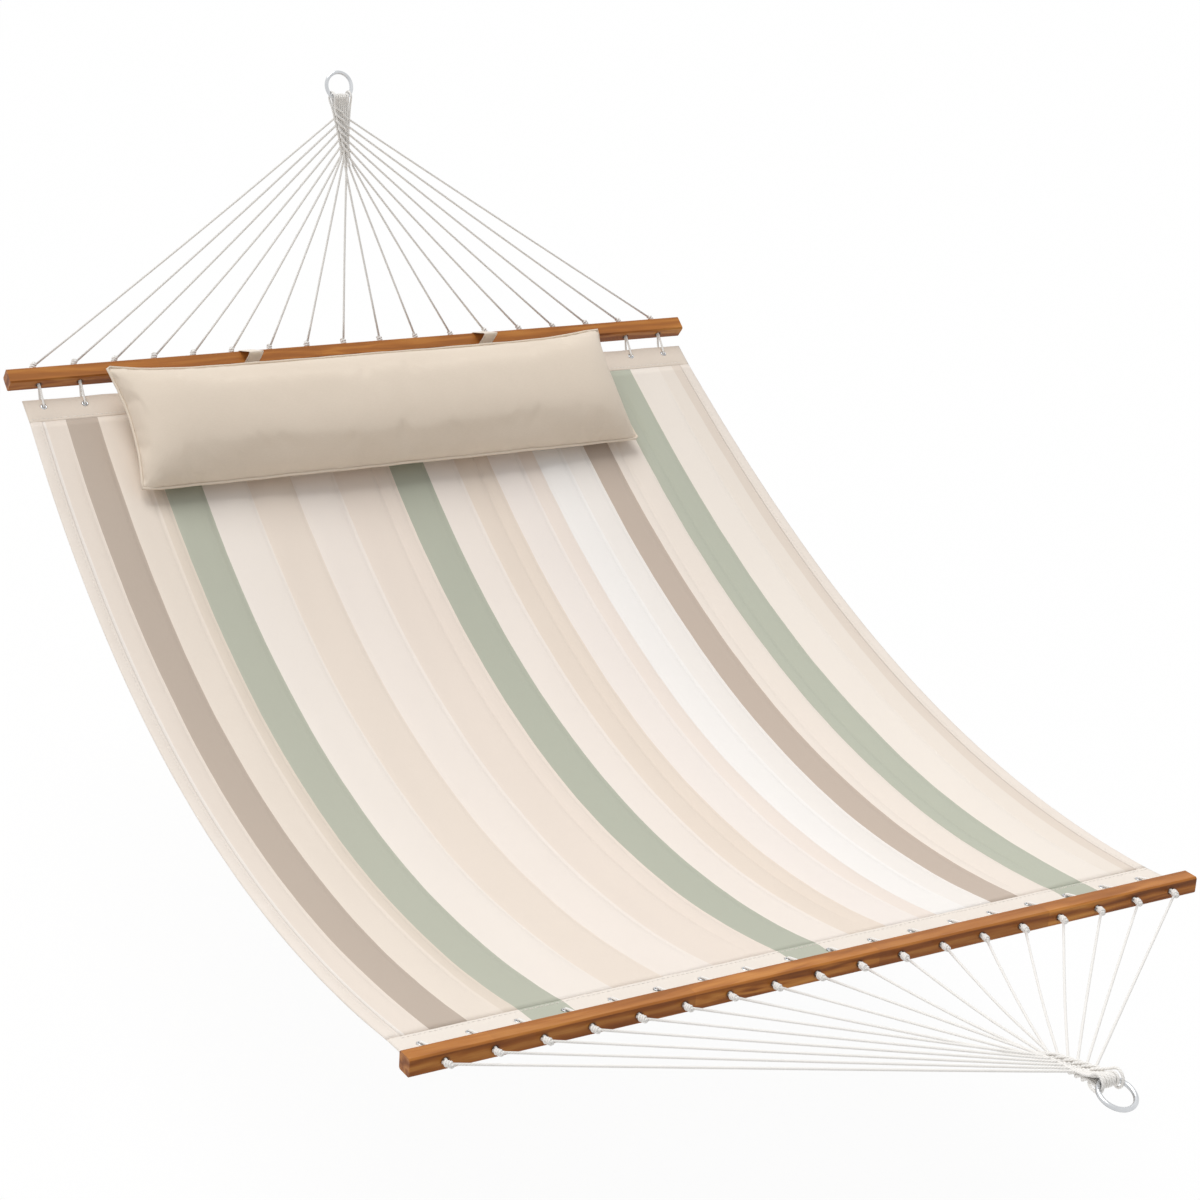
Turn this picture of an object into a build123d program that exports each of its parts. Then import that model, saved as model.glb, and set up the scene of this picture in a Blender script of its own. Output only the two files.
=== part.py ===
from build123d import *
import math
import os

# A quilted hammock as it hangs empty between two level hooks.
# Millimetres. +Z is up, +Y runs from the foot to the head, X runs along the bars.
# The origin is the centre of the head ring.

# Hang of the whole hammock, seen from the side
bar_spacing = 1698.9
head_fan_length = 500.0
head_fan_angle = 51.9
foot_fan_length = 615.5
foot_fan_angle = 30.75
head_bar_roll = 18.2
foot_bar_roll = 21.05

# Spreader bars
bar_length = 1400.0
bar_depth = 30.0
bar_height = 28.0
bar_chamfer = 2.5
hole_count = 18
hole_pitch = 76.0
hole_radius = 4.75
hole_sides = 8

# Rings, and how far inside the rod's lowest point the loops' axis lies
ring_radius = 25.5
ring_rod_radius = 3.5
ring_seat_inset = 2.0
ring_steps = 36
ring_rod_sides = 10
loop_clearance = 0.4

# Cord, and the woven mat below each ring
cord_radius = 2.0
cord_sides = 6
strand_count = 9
strand_pitch = 4.2
layer_height = 2.15
top_layer_height = 6.8
loop_steps = 6
dip_depth = 18.0
first_exit_depth = 16.0
exit_step = 14.6
rise_run = 6.0
tail_length = 25.0
flat_strands = 3

# Knots outside the bars
knot_reach = 7.5
knot_offset = 10.0
knot_half_length = 7.0
knot_shoulder = 3.8
knot_clearance = 0.9

# Bed: flat across at both hems, sagging lengthways and crossways between them
cloth_gap_foot = 32.0
cloth_gap_head = 29.9
end_hem_depth = 51.0
side_hem_width = 22.0
cloth_shift = 6.0
foot_edge_drop = 5.7
head_edge_drop = 13.3
long_sag = 163.8
sag_skew = 0.142
edge_half_width = 682.0
middle_widening = 23.5
cross_sag = 55.0
least_cross_sag = 0.8
top_cloth_thickness = 0.8
wadding_thickness = 3.2
back_cloth_thickness = 0.8
ply_gap = 0.15
seam_gap = 0.15
bed_stations = 10

# Eyelets in the two end hems, measured from the hem's outer edge
eyelet_inset = 18.0
eyelet_radius = 6.0
eyelet_bore_radius = 3.2
eyelet_sides = 6
eyelet_flange = 0.7
eyelet_clearance = 0.1

# Lacing loops
lacing_leg_offset = 2.3
lacing_mouth_run = 3.0
lacing_clearance = 0.5

# Pillow
pillow_length = 1010.0
pillow_depth = 247.0
pillow_crown = 62.0
pillow_underside = 40.0
pillow_end_run = 110.0
pillow_draw = 15.0
pillow_shift = -27.0
pillow_tilt = 24.0
pillow_edge = 1.5
pillow_seam_back = 39.2
pillow_seam_rise = 37.9
least_crown = 1.0
pillow_half_stations = 4
cover_thickness = 1.2
cover_seam_allowance = 3.0
cover_gap = 0.2
piping_radius = 3.0
piping_sides = 6
piping_gap = 0.4

# Pillow straps
strap_width = 28.0
strap_thickness = 1.5
strap_offset = 244.0
strap_clearance = 0.4
strap_nose_radius = 0.9
pillow_swing_gap = 0.4


def yz(angle, length=1.0):
    return Vector(0, length * math.cos(math.radians(angle)), length * math.sin(math.radians(angle)))


# Where the rings, bars and knots of the two ends are
def makeEnd(name, facing, ring_centre, bar_centre, roll, ring_angle):
    plane = Plane(
        origin=bar_centre,
        x_dir=(facing, 0, 0),
        z_dir=Vector(0, 0, 1).rotate(Axis.X, facing * roll),
    )
    knot_line = bar_centre + plane.y_dir * (bar_depth / 2 + knot_offset)
    down = Vector(0, -facing * math.cos(math.radians(ring_angle)), -math.sin(math.radians(ring_angle)))
    pivot = ring_centre + down * (ring_radius - ring_seat_inset)
    fan_vector = knot_line - pivot
    fan_x = Vector(-facing, 0, 0)
    fan = Plane(origin=pivot, x_dir=fan_x, z_dir=fan_x.cross(fan_vector))
    return {
        "name": name,
        "facing": facing,
        "ring_centre": ring_centre,
        "ring_down": down,
        "bar": plane,
        "fan": fan,
        "fan_length": fan_vector.length,
        "knot_line": knot_line,
        "pivot": pivot,
    }


head_bar_centre = Vector(0, 0, 0) - yz(head_fan_angle, head_fan_length)
foot_drop = foot_fan_length * math.sin(math.radians(foot_fan_angle))
bar_rise = -foot_drop - head_bar_centre.Z
bar_run = math.sqrt(bar_spacing**2 - bar_rise**2)
foot_bar_centre = Vector(0, head_bar_centre.Y - bar_run, -foot_drop)
foot_ring_centre = foot_bar_centre + yz(180 - foot_fan_angle, foot_fan_length)

head = makeEnd("head", 1, Vector(0, 0, 0), head_bar_centre, head_bar_roll, head_fan_angle)
foot = makeEnd("foot", -1, foot_ring_centre, foot_bar_centre, foot_bar_roll, 0.0)

chord_direction = (head_bar_centre - foot_bar_centre).normalized()
chord_normal = Vector(1, 0, 0).cross(chord_direction)

bed_thickness = top_cloth_thickness + wadding_thickness + back_cloth_thickness + 2 * ply_gap
hole_places = [(i - (hole_count - 1) / 2) * hole_pitch for i in range(hole_count)]
foot_hem_line = cloth_gap_foot + end_hem_depth
head_hem_line = bar_spacing - cloth_gap_head - end_hem_depth


# A closed tube of flat sides along straight runs with mitred corners
def cordTube(points, radius=cord_radius, sides=cord_sides):
    path = Polyline(*points)
    start = Plane(origin=path @ 0, z_dir=path % 0)
    section = start * RegularPolygon(radius, sides)
    return sweep(section, path=path, transition=Transition.RIGHT)


# Rings: a rod bent to a closed circle, drawn in short straight steps
def makeRing(end):
    side = Vector(1, 0, 0)
    plane = Plane(origin=end["ring_centre"], x_dir=side, z_dir=side.cross(end["ring_down"]))
    turn = 2 * math.pi / ring_steps
    corner_radius = ring_radius / math.cos(turn / 2)
    start = (ring_radius, 0)
    corners = []
    for step in range(ring_steps):
        angle = (step + 0.5) * turn
        corners.append((corner_radius * math.cos(angle), corner_radius * math.sin(angle)))
    path = Polyline(start, *corners, start)
    section = Plane(origin=(ring_radius, 0, 0), z_dir=(0, 1, 0)) * RegularPolygon(ring_rod_radius, ring_rod_sides)
    return plane * sweep(section, path=path, transition=Transition.RIGHT)


# Spreader bar: a square-edged batten with a row of cross holes for the cords
def makeBar(end):
    bar = Box(bar_length, bar_depth, bar_height)
    bar = chamfer(bar.edges().filter_by(Axis.X), bar_chamfer)
    drill = extrude(RegularPolygon(hole_radius, hole_sides, major_radius=False), bar_depth)
    for x in hole_places:
        bar -= Pos(x, bar_depth / 2, 0) * Rot(90, 0, 0) * drill
    return end["bar"] * bar


# Knots: a short barrel in each leg, level with its hole, its flats towards the bar
def makeKnots(end):
    belly = RegularPolygon(knot_reach, cord_sides, major_radius=False, rotation=180 / cord_sides)
    knot = extrude(Plane.YZ * belly, knot_half_length, both=True)
    knot = chamfer(knot.faces().filter_by(Axis.X).edges(), knot_shoulder)
    places = [Pos(x, bar_depth / 2 + knot_offset, 0) for x in hole_places]
    return Compound(children=[end["bar"] * place * knot for place in places])


# Loops over a ring's rod clear the ring however it turns on the loops' axis
def loopRadius(x):
    reach = 0
    for step in range(-cord_sides, cord_sides + 1):
        across = cord_radius * step / cord_sides
        side = abs(x) + across
        axis = ring_radius - ring_seat_inset
        outer = math.sqrt((ring_radius + ring_rod_radius) ** 2 - side**2)
        inner = math.sqrt((ring_radius - ring_rod_radius) ** 2 - side**2)
        thickness = math.sqrt(cord_radius**2 - across**2)
        reach = max(reach, abs(outer - axis) + thickness, abs(axis - inner) + thickness)
    return (reach + loop_clearance) / math.cos(math.pi / loop_steps / 2)


# Half of one cord in the mat, on the front face: strand 0 crosses over all the others first
def strandHalf(order, fan_length):
    start_x = (order - (strand_count - 1) / 2) * strand_pitch
    last_crossing = strand_count - flat_strands - 1
    level = min(order, last_crossing + 1)
    exit_depth = first_exit_depth + level * exit_step
    slope = strand_pitch / 2 / exit_step

    def layerPoint(depth, height):
        return Vector(start_x - slope * (depth - first_exit_depth), depth, height)

    points = [Vector(start_x, 0, loopRadius(start_x))]
    if order > 0:
        points.append(layerPoint(dip_depth, layer_height))
    if 0 < order <= last_crossing:
        points.append(layerPoint(exit_depth - rise_run, layer_height))
    leave_height = top_layer_height if order <= last_crossing else layer_height
    leave = layerPoint(exit_depth, leave_height)
    knot_point = Vector(hole_places[knotIndex(order)], fan_length, 0)
    run = (knot_point - leave).normalized()
    far = knot_point - run * (knot_reach / math.cos(math.pi / cord_sides) + knot_clearance)
    return points + [leave, leave + run * tail_length], far


# Front strands go to the holes on one side, the outermost hole to the strand that leaves first
def knotIndex(order):
    last_flat = strand_count - flat_strands
    if order < last_flat:
        return hole_count - 1 - order
    return hole_count // 2 + order - last_flat


# The front face is turned left for right, the back face upside down
def onFront(points):
    return [Vector(-p.X, p.Y, p.Z) for p in points]


def onBack(points):
    return [Vector(p.X, p.Y, -p.Z) for p in points]


# One doubled cord: back strand, half turn over the ring, front strand
def cordRoute(number, fan_length):
    front, front_far = strandHalf(number, fan_length)
    back, back_far = strandHalf(strand_count - 1 - number, fan_length)
    front = onFront(front)
    back = onBack(back)
    x = front[0].X
    radius = loopRadius(x)
    turn = []
    for step in range(1, loop_steps):
        angle = math.pi * step / loop_steps
        turn.append(Vector(x, -radius * math.sin(angle), -radius * math.cos(angle)))
    route = list(reversed(back)) + turn + front
    legs = [(back[-1], onBack([back_far])[0]), (front[-1], onFront([front_far])[0])]
    return route, legs


def makeHarness(end):
    mat = []
    legs = []
    for number in range(strand_count):
        route, ends = cordRoute(number, end["fan_length"])
        mat.append(end["fan"] * cordTube(route))
        legs += [end["fan"] * cordTube(leg) for leg in ends]
    return Compound(children=mat), Compound(children=legs)


# Side view of the bed: height of the cloth's long edges above the line between the bars
def edgeHeight(along):
    share = along / bar_spacing
    drop = foot_edge_drop * (1 - share) + head_edge_drop * share
    hang = 4 * long_sag * share * (1 - share) * (1 - sag_skew * (2 * share - 1))
    return -drop - hang


def edgePoint(along):
    return foot_bar_centre + chord_direction * along + chord_normal * edgeHeight(along)


# Section plane across the bed, with its local +Y on the upper side
def bedPlane(along):
    step = 1.0
    back_along = (edgePoint(along - step) - edgePoint(along + step)).normalized()
    return Plane(origin=edgePoint(along) + Vector(cloth_shift, 0, 0), x_dir=(1, 0, 0), z_dir=back_along)


def halfWidth(along):
    share = along / bar_spacing
    return edge_half_width + middle_widening * 4 * share * (1 - share)


def crossSag(along):
    share = (along - foot_hem_line) / (head_hem_line - foot_hem_line)
    return least_cross_sag + (cross_sag - least_cross_sag) * 4 * share * (1 - share)


def bedStations():
    length = head_hem_line - foot_hem_line
    return [foot_hem_line + length * i / (bed_stations - 1) for i in range(bed_stations)]


def dipAt(x, along):
    return -crossSag(along) * (1 - (x / halfWidth(along)) ** 2)


# One ply of the quilt, its top this far below the upper surface
def makePly(depth, thickness):
    sections = []
    for along in bedStations():
        half = halfWidth(along) - side_hem_width
        top = dipAt(half, along) - depth
        low = top - thickness
        middle = dipAt(0, along) - depth
        outline = [
            ThreePointArc((-half, top), (0, middle), (half, top)),
            Line((half, top), (half, low)),
            ThreePointArc((half, low), (0, middle - thickness), (-half, low)),
            Line((-half, low), (-half, top)),
        ]
        sections.append(bedPlane(along) * make_face(outline))
    return loft(sections, ruled=True)


# Folded long edge of the bed, on one side
def makeSideHem(side):
    sections = []
    for along in bedStations():
        outer = halfWidth(along)
        inner = outer - side_hem_width + seam_gap
        top = dipAt(inner, along)
        corners = [(side * inner, top), (side * outer, 0), (side * outer, -bed_thickness)]
        corners.append((side * inner, top - bed_thickness))
        sections.append(bedPlane(along) * make_face(Polyline(*corners, close=True)))
    return loft(sections, ruled=True)


# Plane in the middle of an end hem, local +Y outwards to the bar and +Z up
def hemPlane(end):
    along = head_hem_line if end is head else foot_hem_line
    across = bedPlane(along)
    outward = -across.z_dir * end["facing"]
    middle = across.origin + outward * (end_hem_depth / 2) - across.y_dir * (bed_thickness / 2)
    return Plane(origin=middle, x_dir=(end["facing"], 0, 0), z_dir=across.y_dir)


def eyeletPlaces(end):
    y = end_hem_depth / 2 - eyelet_inset
    return [(x - end["facing"] * cloth_shift, y) for x in hole_places]


# Folded end hem with a row of eyelet holes
def makeEndHem(end):
    along = head_hem_line if end is head else foot_hem_line
    hem = Box(2 * halfWidth(along), end_hem_depth, bed_thickness)
    across_flats = eyelet_radius + eyelet_clearance
    for x, y in eyeletPlaces(end):
        punch = RegularPolygon(across_flats, eyelet_sides, major_radius=False)
        hem -= extrude(Pos(x, y, -bed_thickness) * punch, 2 * bed_thickness)
    return hemPlane(end) * hem


def makeEyelets(end):
    height = bed_thickness + 2 * eyelet_flange
    ring = RegularPolygon(eyelet_radius, eyelet_sides, major_radius=False)
    ring -= RegularPolygon(eyelet_bore_radius, eyelet_sides, major_radius=False)
    place = hemPlane(end)
    eyelets = [place * Pos(x, y, -height / 2) * extrude(ring, height) for x, y in eyeletPlaces(end)]
    return Compound(children=eyelets)


# Lacing: from the knot through the bar, down through the eyelet and back below the hem
def makeLacing(end):
    bar = end["bar"]
    hem = hemPlane(end)
    eyelet_y = end_hem_depth / 2 - eyelet_inset
    above = bed_thickness / 2 + eyelet_flange + cord_radius + lacing_clearance
    knot_face = bar_depth / 2 + knot_offset - knot_reach
    mouth = -bar_depth / 2 - lacing_mouth_run
    edge = end_hem_depth / 2 + cord_radius
    loops = []
    for x in hole_places:
        hem_x = x - end["facing"] * cloth_shift
        points = [
            bar.from_local_coords(Vector(x, knot_face, lacing_leg_offset)),
            bar.from_local_coords(Vector(x, mouth, lacing_leg_offset)),
            hem.from_local_coords(Vector(hem_x, eyelet_y + cord_radius, above)),
            hem.from_local_coords(Vector(hem_x, eyelet_y, above - cord_radius)),
            hem.from_local_coords(Vector(hem_x, eyelet_y, cord_radius - above)),
            hem.from_local_coords(Vector(hem_x, eyelet_y + cord_radius, -above)),
            hem.from_local_coords(Vector(hem_x, edge, -above)),
            bar.from_local_coords(Vector(x, mouth, -lacing_leg_offset)),
            bar.from_local_coords(Vector(x, knot_face, -lacing_leg_offset)),
        ]
        loops.append(cordTube(points))
    return Compound(children=loops)


# Pillow: the seam lies in the local XY plane, +Y towards the head bar
pillow_direction = yz(pillow_tilt)
pillow_seam = head_bar_centre + Vector(0, -pillow_seam_back, pillow_seam_rise)
pillow_centre = pillow_seam - pillow_direction * (pillow_depth / 2) + Vector(pillow_shift, 0, 0)
pillow_plane = Plane(origin=pillow_centre, x_dir=(1, 0, 0), z_dir=Vector(1, 0, 0).cross(pillow_direction))
strap_nose = strap_nose_radius + strap_thickness
pillow_hinge = pillow_seam + pillow_direction * (2 * piping_radius + piping_gap + pillow_swing_gap + strap_nose)


# Height of a round arc over half a chord, at a share of that half
def arcHeight(share, half, rise):
    radius = (half**2 + rise**2) / (2 * rise)
    return math.sqrt(radius**2 - (half * share) ** 2) - (radius - rise)


# Round shoulder from an end of the seam up to the full crown
def shoulder(end_x, run, start, rise):
    radius = (run**2 + rise**2) / (2 * abs(rise))
    sweep_angle = math.asin(run / radius) / 2
    way = -1 if end_x > 0 else 1
    up = 1 if rise > 0 else -1
    top = (end_x + way * run, start + rise)
    middle_x = top[0] - way * radius * math.sin(sweep_angle)
    middle_z = top[1] - up * radius * (1 - math.cos(sweep_angle))
    return ThreePointArc((end_x, start), (middle_x, middle_z), top), top


# Closed pillow form, drawn in by a margin at the seam and by a skin over the crown
def makePillowForm(margin, skin):
    depth = pillow_depth / 2 - margin
    edge = pillow_edge - skin if skin else pillow_edge
    edge = max(edge, pillow_edge / 5)
    sections = []
    for station in range(-pillow_half_stations, pillow_half_stations + 1):
        share = math.sin(math.pi / 2 * station / pillow_half_stations)
        half = pillow_length / 2 - margin - pillow_draw * (1 - share**2)
        upper = least_crown + arcHeight(share, depth, pillow_crown - skin - least_crown)
        lower = least_crown + arcHeight(share, depth, pillow_underside - skin - least_crown)
        left_up, top_left = shoulder(-half, pillow_end_run, edge, upper)
        right_up, top_right = shoulder(half, pillow_end_run, edge, upper)
        left_down, low_left = shoulder(-half, pillow_end_run, -edge, -lower)
        right_down, low_right = shoulder(half, pillow_end_run, -edge, -lower)
        outline = [left_up, Line(top_left, top_right), right_up, Line((half, edge), (half, -edge))]
        outline += [right_down, Line(low_right, low_left), left_down, Line((-half, -edge), (-half, edge))]
        across = Plane(origin=(0, share * depth, 0), x_dir=(1, 0, 0), z_dir=(0, -1, 0))
        sections.append(across * make_face(outline))
    return pillow_plane * loft(sections, ruled=True)


def makePillow():
    outer = makePillowForm(0, 0)
    cavity = makePillowForm(cover_seam_allowance, cover_thickness)
    fill = makePillowForm(cover_seam_allowance + cover_gap, cover_thickness + cover_gap)
    return outer - cavity, fill


# Piping along the seam, one length whose ends meet in the middle of the bar side
def makePiping():
    reach = piping_radius + piping_gap
    slope = 4 * pillow_draw / pillow_depth
    half = pillow_length / 2 + reach * math.hypot(1, slope)
    depth = pillow_depth / 2 + reach
    right = []
    for share in (1, 0.5, 0, -0.5, -1):
        y = share * depth
        right.append((half - pillow_draw * (1 - (2 * y / pillow_depth) ** 2), y))
    left = [(-x, y) for x, y in reversed(right)]
    points = [(0, depth)] + right + left + [(0, depth)]
    placed = [pillow_plane.from_local_coords(Vector(x, y, 0)) for x, y in points]
    return cordTube(placed, piping_radius, piping_sides)


# Strap: a band round the bar, drawn to a nose beside the pillow's seam
def makeStrap(side):
    bar = head["bar"]
    nose = bar.to_local_coords(pillow_hinge)
    grown = 2 * strap_clearance
    section = Rectangle(bar_depth + grown, bar_height + grown)
    section = chamfer(section.vertices(), bar_chamfer)
    outline = section.edges() + (Pos(nose.Y, nose.Z) * Circle(strap_nose_radius)).edges()
    inside = make_hull(outline)
    band = offset(inside, strap_thickness) - inside
    x = side * strap_offset - strap_width / 2
    across = Plane(origin=bar.from_local_coords(Vector(x, 0, 0)), x_dir=bar.y_dir, z_dir=(1, 0, 0))
    return extrude(across * band, strap_width)


# Least free space between the cords of one mat, from points along their centre lines
def leastGap(end):
    lines = []
    for number in range(strand_count):
        route, _ = cordRoute(number, end["fan_length"])
        points = []
        for a, b in zip(route, route[1:]):
            steps = max(2, int((b - a).length / cord_radius))
            points += [a + (b - a) * (i / steps) for i in range(steps)]
        lines.append(points)
    least = min((p - q).length for i, one in enumerate(lines) for two in lines[i + 1:] for p in one for q in two)
    return least - 2 * cord_radius


def makeParts():
    parts = {}
    for end in (head, foot):
        name = end["name"]
        parts[name + "_ring"] = makeRing(end)
        parts[name + "_clew"], parts[name + "_harness_cords"] = makeHarness(end)
        parts[name + "_knots"] = makeKnots(end)
        parts[name + "_spreader_bar"] = makeBar(end)
        parts[name + "_lacing"] = makeLacing(end)
        parts[name + "_eyelets"] = makeEyelets(end)
        parts[name + "_hem"] = makeEndHem(end)
    wadding_depth = top_cloth_thickness + ply_gap
    back_depth = wadding_depth + wadding_thickness + ply_gap
    parts["bed_top_cloth"] = makePly(0, top_cloth_thickness)
    parts["bed_wadding"] = makePly(wadding_depth, wadding_thickness)
    parts["bed_back_cloth"] = makePly(back_depth, back_cloth_thickness)
    parts["left_side_hem"] = makeSideHem(-1)
    parts["right_side_hem"] = makeSideHem(1)
    parts["pillow_cover"], parts["pillow_fill"] = makePillow()
    parts["pillow_piping"] = makePiping()
    parts["left_pillow_strap"] = makeStrap(-1)
    parts["right_pillow_strap"] = makeStrap(1)
    return parts


os.makedirs("parts", exist_ok=True)
for node, shape in makeParts().items():
    export_step(shape, f"parts/{node}.step")

print("foot ring centre", foot["ring_centre"])
for end in (head, foot):
    print(end["name"], "knot line", end["knot_line"], "ring pivot", end["pivot"])
    print(end["name"], "fan length", round(end["fan_length"], 1), "least gap in the mat", round(leastGap(end), 2))
print("pillow hinge", pillow_hinge)
print("loop radii", [round(loopRadius((i - 4) * strand_pitch), 1) for i in range(strand_count)])
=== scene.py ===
import math
import bmesh
import bpy
from mathutils import Matrix, Vector, noise


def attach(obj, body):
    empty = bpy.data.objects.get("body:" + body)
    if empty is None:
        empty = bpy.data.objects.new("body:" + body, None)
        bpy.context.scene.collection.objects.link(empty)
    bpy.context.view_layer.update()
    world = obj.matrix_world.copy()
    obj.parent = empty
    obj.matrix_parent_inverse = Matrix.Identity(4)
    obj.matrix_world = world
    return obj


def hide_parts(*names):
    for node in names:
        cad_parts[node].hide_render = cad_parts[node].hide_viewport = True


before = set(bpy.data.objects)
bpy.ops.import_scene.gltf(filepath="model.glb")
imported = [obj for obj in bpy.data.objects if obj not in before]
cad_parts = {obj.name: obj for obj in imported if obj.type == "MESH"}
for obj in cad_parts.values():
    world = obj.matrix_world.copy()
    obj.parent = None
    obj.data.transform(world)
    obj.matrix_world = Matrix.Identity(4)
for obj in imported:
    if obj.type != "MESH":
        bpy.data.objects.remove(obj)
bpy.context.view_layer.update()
scene = bpy.context.scene
scene.view_settings.view_transform = "Standard"
print("frame loaded")

mm = 0.001


# Camera, as the photograph was taken: level frame, metres
cameraSet = {
    "place": (-2.1161, -3.9249, 2.2831),
    "right": (0.86031, -0.45219, 0.23535),
    "down": (-0.12028, -0.62871, -0.76828),
    "forward": (0.49538, 0.63265, -0.59528),
    "lens": 77.892,
    "sensor": 36.0,
}


def makeCamera(s):
    data = bpy.data.cameras.new("viewCamera")
    data.sensor_width = s["sensor"]
    data.lens = s["lens"]
    data.clip_end = 100
    camera = bpy.data.objects.new("viewCamera", data)
    scene.collection.objects.link(camera)
    axes = [Vector(s["right"]), -Vector(s["down"]), -Vector(s["forward"]), Vector(s["place"])]
    camera.matrix_world = Matrix([[a[row] for a in axes] for row in range(3)] + [[0, 0, 0, 1]])
    scene.camera = camera


makeCamera(cameraSet)
print("camera set")


# Material nodes as expressions
def paint(r, g, b):
    def lin(c):
        c = c / 255
        return c / 12.92 if c <= 0.04045 else ((c + 0.055) / 1.055) ** 2.4
    return (lin(r), lin(g), lin(b), 1.0)


class Wire:
    # wraps one socket; an expression on wires adds Math nodes
    def __init__(self, tree, socket=None):
        self.tree = tree
        self.socket = socket

    def make(self, kind, settings, links, out=0):
        made = self.tree.nodes.new(kind)
        for name, value in settings.items():
            if name == "stops":
                fillRamp(made.color_ramp, value)
            else:
                setattr(made, name, value)
        for name, value in links.items():
            if isinstance(value, Wire):
                self.tree.links.new(value.socket, made.inputs[name])
            else:
                made.inputs[name].default_value = value
        return Wire(self.tree, made.outputs[out])

    def sums(self, operation, first, second=0.0):
        return self.make("ShaderNodeMath", {"operation": operation}, {0: first, 1: second})

    def __add__(self, other):
        return self.sums("ADD", self, other)

    def __radd__(self, other):
        return self.sums("ADD", other, self)

    def __sub__(self, other):
        return self.sums("SUBTRACT", self, other)

    def __rsub__(self, other):
        return self.sums("SUBTRACT", other, self)

    def __mul__(self, other):
        return self.sums("MULTIPLY", self, other)

    def __truediv__(self, other):
        return self.sums("DIVIDE", self, other)

    def sine(self):
        return self.sums("SINE", self)

    def held(self):  # kept between 0 and 1
        return self.make("ShaderNodeClamp", {}, {"Value": self})

    def ramp(self, stops, smooth="LINEAR"):
        return self.make("ShaderNodeValToRGB", {"stops": (stops, smooth)}, {"Fac": self})

    def blend(self, first, second):  # colours mixed by this factor
        return self.make("ShaderNodeMix", {"data_type": "RGBA"}, {0: self, 6: first, 7: second}, 2)

    def noise(self, scale, detail=3.0, rough=0.5, distortion=0.0):
        links = {"Vector": self, "Scale": scale, "Detail": detail}
        links.update({"Roughness": rough, "Distortion": distortion})
        return self.make("ShaderNodeTexNoise", {}, links)

    def vector(self, operation, other, out=0):
        return self.make("ShaderNodeVectorMath", {"operation": operation}, {0: self, 1: other}, out)

    def stretched(self, x, y, z):
        return self.vector("MULTIPLY", (x, y, z))

    def part(self, axis):
        return self.make("ShaderNodeSeparateXYZ", {}, {0: self}, axis)


def fillRamp(ramp, value):
    stops, smooth = value
    ramp.interpolation = smooth
    while len(ramp.elements) < len(stops):
        ramp.elements.new(0.5)
    for element, (place, colour) in zip(ramp.elements, stops):
        element.position = place
        element.color = colour


def newFinish(name, **fixed):
    # a principled material: returns it, a starting wire, its shader node
    finish = bpy.data.materials.new(name)
    finish.use_nodes = True
    shader = finish.node_tree.nodes["Principled BSDF"]
    for socket, value in fixed.items():
        shader.inputs[socket.replace("_", " ")].default_value = value
    return finish, Wire(finish.node_tree), shader


def feed(shader, name, wire):
    wire.tree.links.new(wire.socket, shader.inputs[name])


def bumpy(start, height, strength, distance):
    return start.make("ShaderNodeBump", {}, {"Height": height, "Strength": strength, "Distance": distance})


def objectPlace(start):
    return start.make("ShaderNodeTexCoord", {}, {}, 3)


def ownMap(start):
    return start.make("ShaderNodeTexCoord", {}, {}, 2)


stripes = {  # mm from the left edge of the 1400 mm wide cloth, with the colour that starts there
    "bands": [
        (0, (243, 235, 227)), (25, (236, 224, 212)), (62, (193, 178, 164)), (123, (236, 224, 211)),
        (181, (228, 215, 200)), (205, (186, 188, 172)), (275, (242, 233, 224)), (364, (236, 223, 210)),
        (450, (242, 232, 223)), (536, (237, 224, 212)), (652, (183, 186, 170)), (722, (242, 232, 223)),
        (788, (235, 221, 207)), (862, (243, 234, 227)), (925, (240, 228, 218)), (962, (246, 242, 238)),
        (1018, (243, 237, 231)), (1068, (198, 182, 168)), (1122, (240, 229, 218)), (1192, (188, 191, 175)),
        (1254, (242, 233, 223)), (1322, (238, 228, 217)), (1356, (229, 216, 203)), (1374, (238, 228, 219)),
    ],
    "seams": [62, 123, 181, 205, 275, 364, 452, 536, 620, 652, 722, 788, 835, 862, 925, 962, 1018, 1068, 1122,
              1145, 1192, 1215, 1254, 1322, 1374],
    "green": [(205, 275), (652, 722), (1192, 1254)],
    "width": 1400.0,
}


def stripeStops(s):
    return [(place / s["width"], paint(*colour)) for place, colour in s["bands"]]


threadSet = {"pitch": 1.1 * mm, "depth": 0.0004, "slub": 900.0, "strength": 0.35}


def weave(start, s):
    # fine over-and-under threads on the piece's own map, which is in metres
    place = ownMap(start)
    warp = (place.part(0) * (2 * math.pi / s["pitch"])).sine()
    weft = (place.part(1) * (2 * math.pi / s["pitch"])).sine()
    slub = place.stretched(1, 0.25, 1).noise(s["slub"], 2.0)
    return bumpy(start, warp * weft * 0.5 + slub * 0.8, s["strength"], s["depth"])


def stripedCloth(name, stops):
    finish, start, shader = newFinish(name, Roughness=0.9, Sheen_Weight=0.15, Specular_IOR_Level=0.25)
    place = ownMap(start)
    across = place.part(0) / (stripes["width"] * mm)
    # the dye edge wavers by a fraction of a millimetre
    waver = place.stretched(1, 0.35, 1).noise(38.0, 2.0) * 0.0012 - 0.0006
    colour = (across + waver).ramp(stops, "CONSTANT")
    cloud = place.noise(5.0, 4.0, 0.6)
    flecks = place.stretched(1, 0.2, 1).noise(520.0, 2.0, 0.7)
    shade = (cloud * 0.10 + flecks * 0.10 + 0.86).held()
    dull = shade.blend((0.72, 0.68, 0.63, 1), (1, 1, 1, 1))
    mixing = {"data_type": "RGBA", "blend_type": "MULTIPLY"}
    tinted = start.make("ShaderNodeMix", mixing, {0: 1.0, 6: colour, 7: dull}, 2)
    feed(shader, "Base Color", tinted)
    feed(shader, "Roughness", cloud * 0.1 + 0.83)
    feed(shader, "Normal", weave(start, threadSet))
    return finish


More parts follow.
